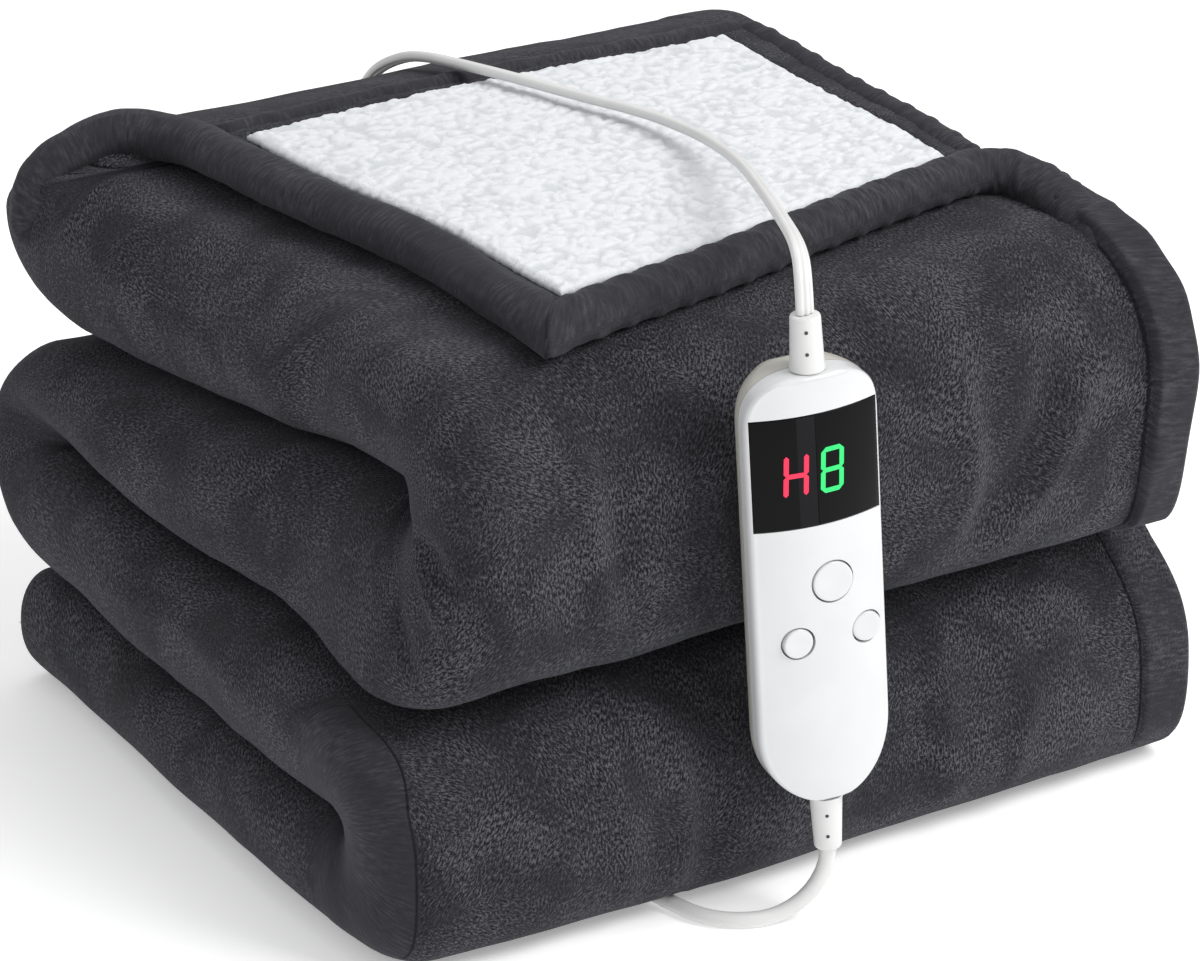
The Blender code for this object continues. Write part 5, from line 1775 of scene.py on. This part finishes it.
@dataclass
class MainsCord:
    """The mains cord: under the throw to a neat coil behind the stack, then to its plug."""

    controller: Controller
    diameter: float = 5.4 * MM
    coil_centre: tuple[float, float] = (0.130, 0.345)
    coil_radius: float = 0.0300
    landing_angles: Triple = (88.0, 165.0, 104.7)
    landing_bend: float = 24.0 * MM
    route: ClassVar[tuple[Triple, ...]] = (
        (0.1040, -0.0040, 0.0028), (0.0998, 0.0120, 0.0028), (0.0976, 0.0380, 0.0028),
        (0.0970, 0.0800, 0.0028), (0.0972, 0.1300, 0.0028), (0.0980, 0.1900, 0.0028),
        (0.0985, 0.2500, 0.0028), (0.0984, 0.2700, 0.0028), (0.0972, 0.2900, 0.0028),
        (0.0949, 0.3100, 0.0028), (0.0927, 0.3280, 0.0028),
    )
    tail: ClassVar[tuple[Triple, ...]] = (
        (0.1420, 0.3836, 0.0073), (0.1560, 0.3822, 0.0046), (0.1700, 0.3788, 0.0030),
        (0.1850, 0.3743, 0.0030), (0.1970, 0.3683, 0.0038), (0.2070, 0.3603, 0.0052),
        (0.2150, 0.3537, 0.0066), (0.2240, 0.3502, 0.0074), (0.2320, 0.3495, 0.0075),
    )

    def landing(self, first: Vector) -> list[Vector]:
        """Return the way down from the strain relief to the floor, then round to the hollow under the throw.

        Args:
            first: Where the cord leaves the relief.

        Returns:
            The two bends' points.
        """
        steep, heading, last = (math.radians(a) for a in self.landing_angles)
        z = self.route[0][2]
        radius = (first.z - z) / (1 - math.cos(steep))
        points = []
        for k in range(1, 11):
            a = steep * (1 - k / 10)
            far = radius * (math.sin(steep) - math.sin(a))
            points.append(Vector((first.x + far * math.cos(heading), first.y + far * math.sin(heading),
                                  z + radius * (1 - math.cos(a)))))
        p, bend = points[-1], self.landing_bend
        for k in range(1, 6):
            a = lerp(heading, last, k / 5)
            points.append(Vector((p.x + bend * (math.sin(heading) - math.sin(a)),
                                  p.y + bend * (math.cos(a) - math.cos(heading)), z)))
        return points

    def coil(self) -> list[Vector]:
        """Return the coil's turns, in at the lower layer's outside and out at the upper one's."""
        d = self.diameter
        turns = ((1.5, 0), (0.5, 0), (-0.5, 0), (-1.5, 0), (-1.5, 1), (-0.5, 1), (0.5, 1), (1.5, 1))
        points = []
        per_turn = 40
        total = (len(turns) - 1) * per_turn + per_turn // 4
        for k in range(total + 1):
            t = k / per_turn
            i = min(int(t), len(turns) - 2)
            a, b = turns[i], turns[i + 1]
            # inner turns are entered late and left early, so that layers cross where they have room
            step = smooth((t - i - 0.5) / 0.5) if b[0] < a[0] else smooth((t - i) / 0.5)
            climb = smooth((t - i) / 0.6)
            radius = self.coil_radius + lerp(a[0], b[0], step) * d
            z = d / 2 + 0.1 * MM + lerp(a[1], b[1], climb) * d * 0.98
            angle = math.pi - 2 * math.pi * t
            points.append(Vector((self.coil_centre[0] + radius * math.cos(angle),
                                  self.coil_centre[1] + radius * math.sin(angle), z)))
        return points

    def build(self, material: bpy.types.Material, plug: Sequence[bpy.types.Object]) -> bpy.types.Object:
        """Build the cord with its coil.

        Args:
            material: Its PVC.
            plug: The plug's pieces; not used.

        Returns:
            The cord.
        """
        first = self.controller.relief_exit(-1, 1 * MM)
        floor = self.diameter / 2 + 0.05 * MM
        route = [first] + self.landing(first) + [Vector(p) for p in self.route[1:]]
        route += self.coil()[::2] + [Vector(p) for p in self.tail]
        path = [self.controller.relief_exit(-1, 0.0)] + smooth_route(route, 0.004)
        path = [Vector((p.x, p.y, max(p.z, floor))) for p in path]

        turns = [2 * math.pi * k / 20 for k in range(20)]
        ring = [(self.diameter / 2 * math.cos(a), self.diameter / 2 * math.sin(a)) for a in turns]
        obj = sweep("mains", path, lambda share: ring, Vector((0, -1, 0)), material)
        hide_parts("mains_cord", "mains_coil", "mains_tail")
        distances(path)[-1]
        LOG.info("mains cord %.3f m", distances(path)[-1])
        return obj


# ------------------------------------------------------------------------------ the studio
@dataclass
class Studio:
    """A pale floor, soft light and the camera at the photograph's angle."""

    azimuth: float = math.radians(-30.4)
    elevation: float = math.radians(24.0)
    distance: float = 2.0
    lens_mm: float = 173.16
    target: Triple = (0.16, 0.13, 0.09)
    off_right: float = 0.010
    off_up: float = -0.0035
    lit: Triple = (0.0, 0.0, 0.08)

    def camera(self) -> None:
        """Place the camera."""
        a, e = self.azimuth, self.elevation
        back = Vector((math.sin(a) * math.cos(e), -math.cos(a) * math.cos(e), math.sin(e)))
        right = Vector((math.cos(a), math.sin(a), 0))
        up = back.cross(right)
        eye = Vector(self.target) - right * self.off_right - up * self.off_up + back * self.distance - ORIGIN
        data = bpy.data.cameras.new("camera")
        data.lens = self.lens_mm
        data.sensor_width = 36.0
        data.sensor_fit = "HORIZONTAL"
        data.clip_end = 20.0
        obj = link("camera", data)
        matrix = Matrix((right, up, back)).transposed().to_4x4()
        matrix.translation = eye
        obj.matrix_world = matrix
        bpy.context.scene.camera = obj

    def light(self, name: str, place: Triple, size: float, power: float,
              colour: str) -> None:
        """Hang a soft square light that looks at the stack.

        Args:
            name: The light's name.
            place: Where it hangs, in the part's frame.
            size: Length of its side.
            power: Its power in watts.
            colour: Its sRGB colour.
        """
        data = bpy.data.lights.new(name, "AREA")
        data.size = size
        data.energy = power
        data.color = linear(colour)[:3]
        at = Vector(place)
        look = (Vector(self.lit) - at).to_track_quat("-Z", "Y").to_matrix().to_4x4()
        link(name, data).matrix_world = Matrix.Translation(at) @ look

    def build(self) -> None:
        """Build the floor, the world and the lights."""
        bm = bmesh.new()
        bmesh.ops.create_grid(bm, x_segments=1, y_segments=1, size=6.0)
        mesh = bpy.data.meshes.new("floor")
        bm.to_mesh(mesh)
        bm.free()
        floor = link("floor", mesh)
        mat, tree, shader = new_material("white studio floor")
        white = linear("#ffffff")
        feed(tree, shader, {"Base Color": white, "Emission Color": white, "Emission Strength": 0.28,
                            "Roughness": 0.9, "Specular IOR Level": 0.1})
        mesh.materials.append(mat)
        world = bpy.data.worlds.new("studio")
        world.use_nodes = True
        sky = world.node_tree.nodes["Background"]
        feed(world.node_tree, sky, {"Color": white, "Strength": 0.56})
        bpy.context.scene.world = world
        bpy.context.scene.view_settings.view_transform = "Standard"
        self.light("key", (0.75, -1.05, 1.35), 0.9, 22.5, "#ffffff")
        self.light("side", (-1.3, -0.3, 0.7), 1.0, 1.0, "#f4f6ff")
        self.light("top", (0.1, 0.6, 1.6), 1.0, 4.0, "#ffffff")
        self.camera()


def main() -> None:
    """Build every piece in order and report it."""
    logging.basicConfig(level=logging.INFO, format="%(name)s: %(message)s")
    Studio().build()
    white = MouldedPlastic("glossy white ABS", "#d6d7d8", 0.25, 0.4).build()
    # painted shade: the back shell is grey so that the controller's side reads darker
    grey = MouldedPlastic("pale grey ABS", "#bdbbb3", 0.3, 0.3).build()
    black = SmokedAcrylic("black acrylic window", "#070709").build()
    # painted reflection: a lighter band on the black window
    painted_reflection = SmokedAcrylic("painted window reflection", "#17171b").build()
    # painted shade inside the strain reliefs' holes
    groove = MouldedPlastic("painted shade in holes", "#3a3b3d", 0.6).build()
    pvc = MouldedPlastic("white PVC cord", "#dddddc", 0.38, 0.1).build()
    controller = Controller()
    Lead(controller).build(pvc)
    plug = [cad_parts[n] for n in ("plug_relief", "plug_body", "plug_blade_left", "plug_blade_right")]
    nickel = PlatedMetal().build()
    for node in plug:
        node.data.materials.clear()
        node.data.materials.append(nickel if "blade" in node.name else pvc)
    MainsCord(controller).build(pvc, plug)
    controller.build_shells(white, grey)
    controller.build_window(black)
    controller.build_digits(Glow("red display segment", "#dc1740", 0.62).build(),
                            Glow("green display segment", "#18c060", 0.62).build(), black, painted_reflection)
    controller.build_buttons(white)
    controller.build_relief("relief_upper", 1, controller.relief_top, "relief_top", pvc, groove)
    controller.build_relief("relief_lower", -1, controller.relief_foot, "relief_foot", pvc, groove)
    throw = FoldedThrow()
    flannel = Flannel().build()
    throw.build(flannel, HemRolls(throw).build(flannel))
    SherpaPanel(throw).build(Sherpa().build())


if __name__ == "__main__":
    main()
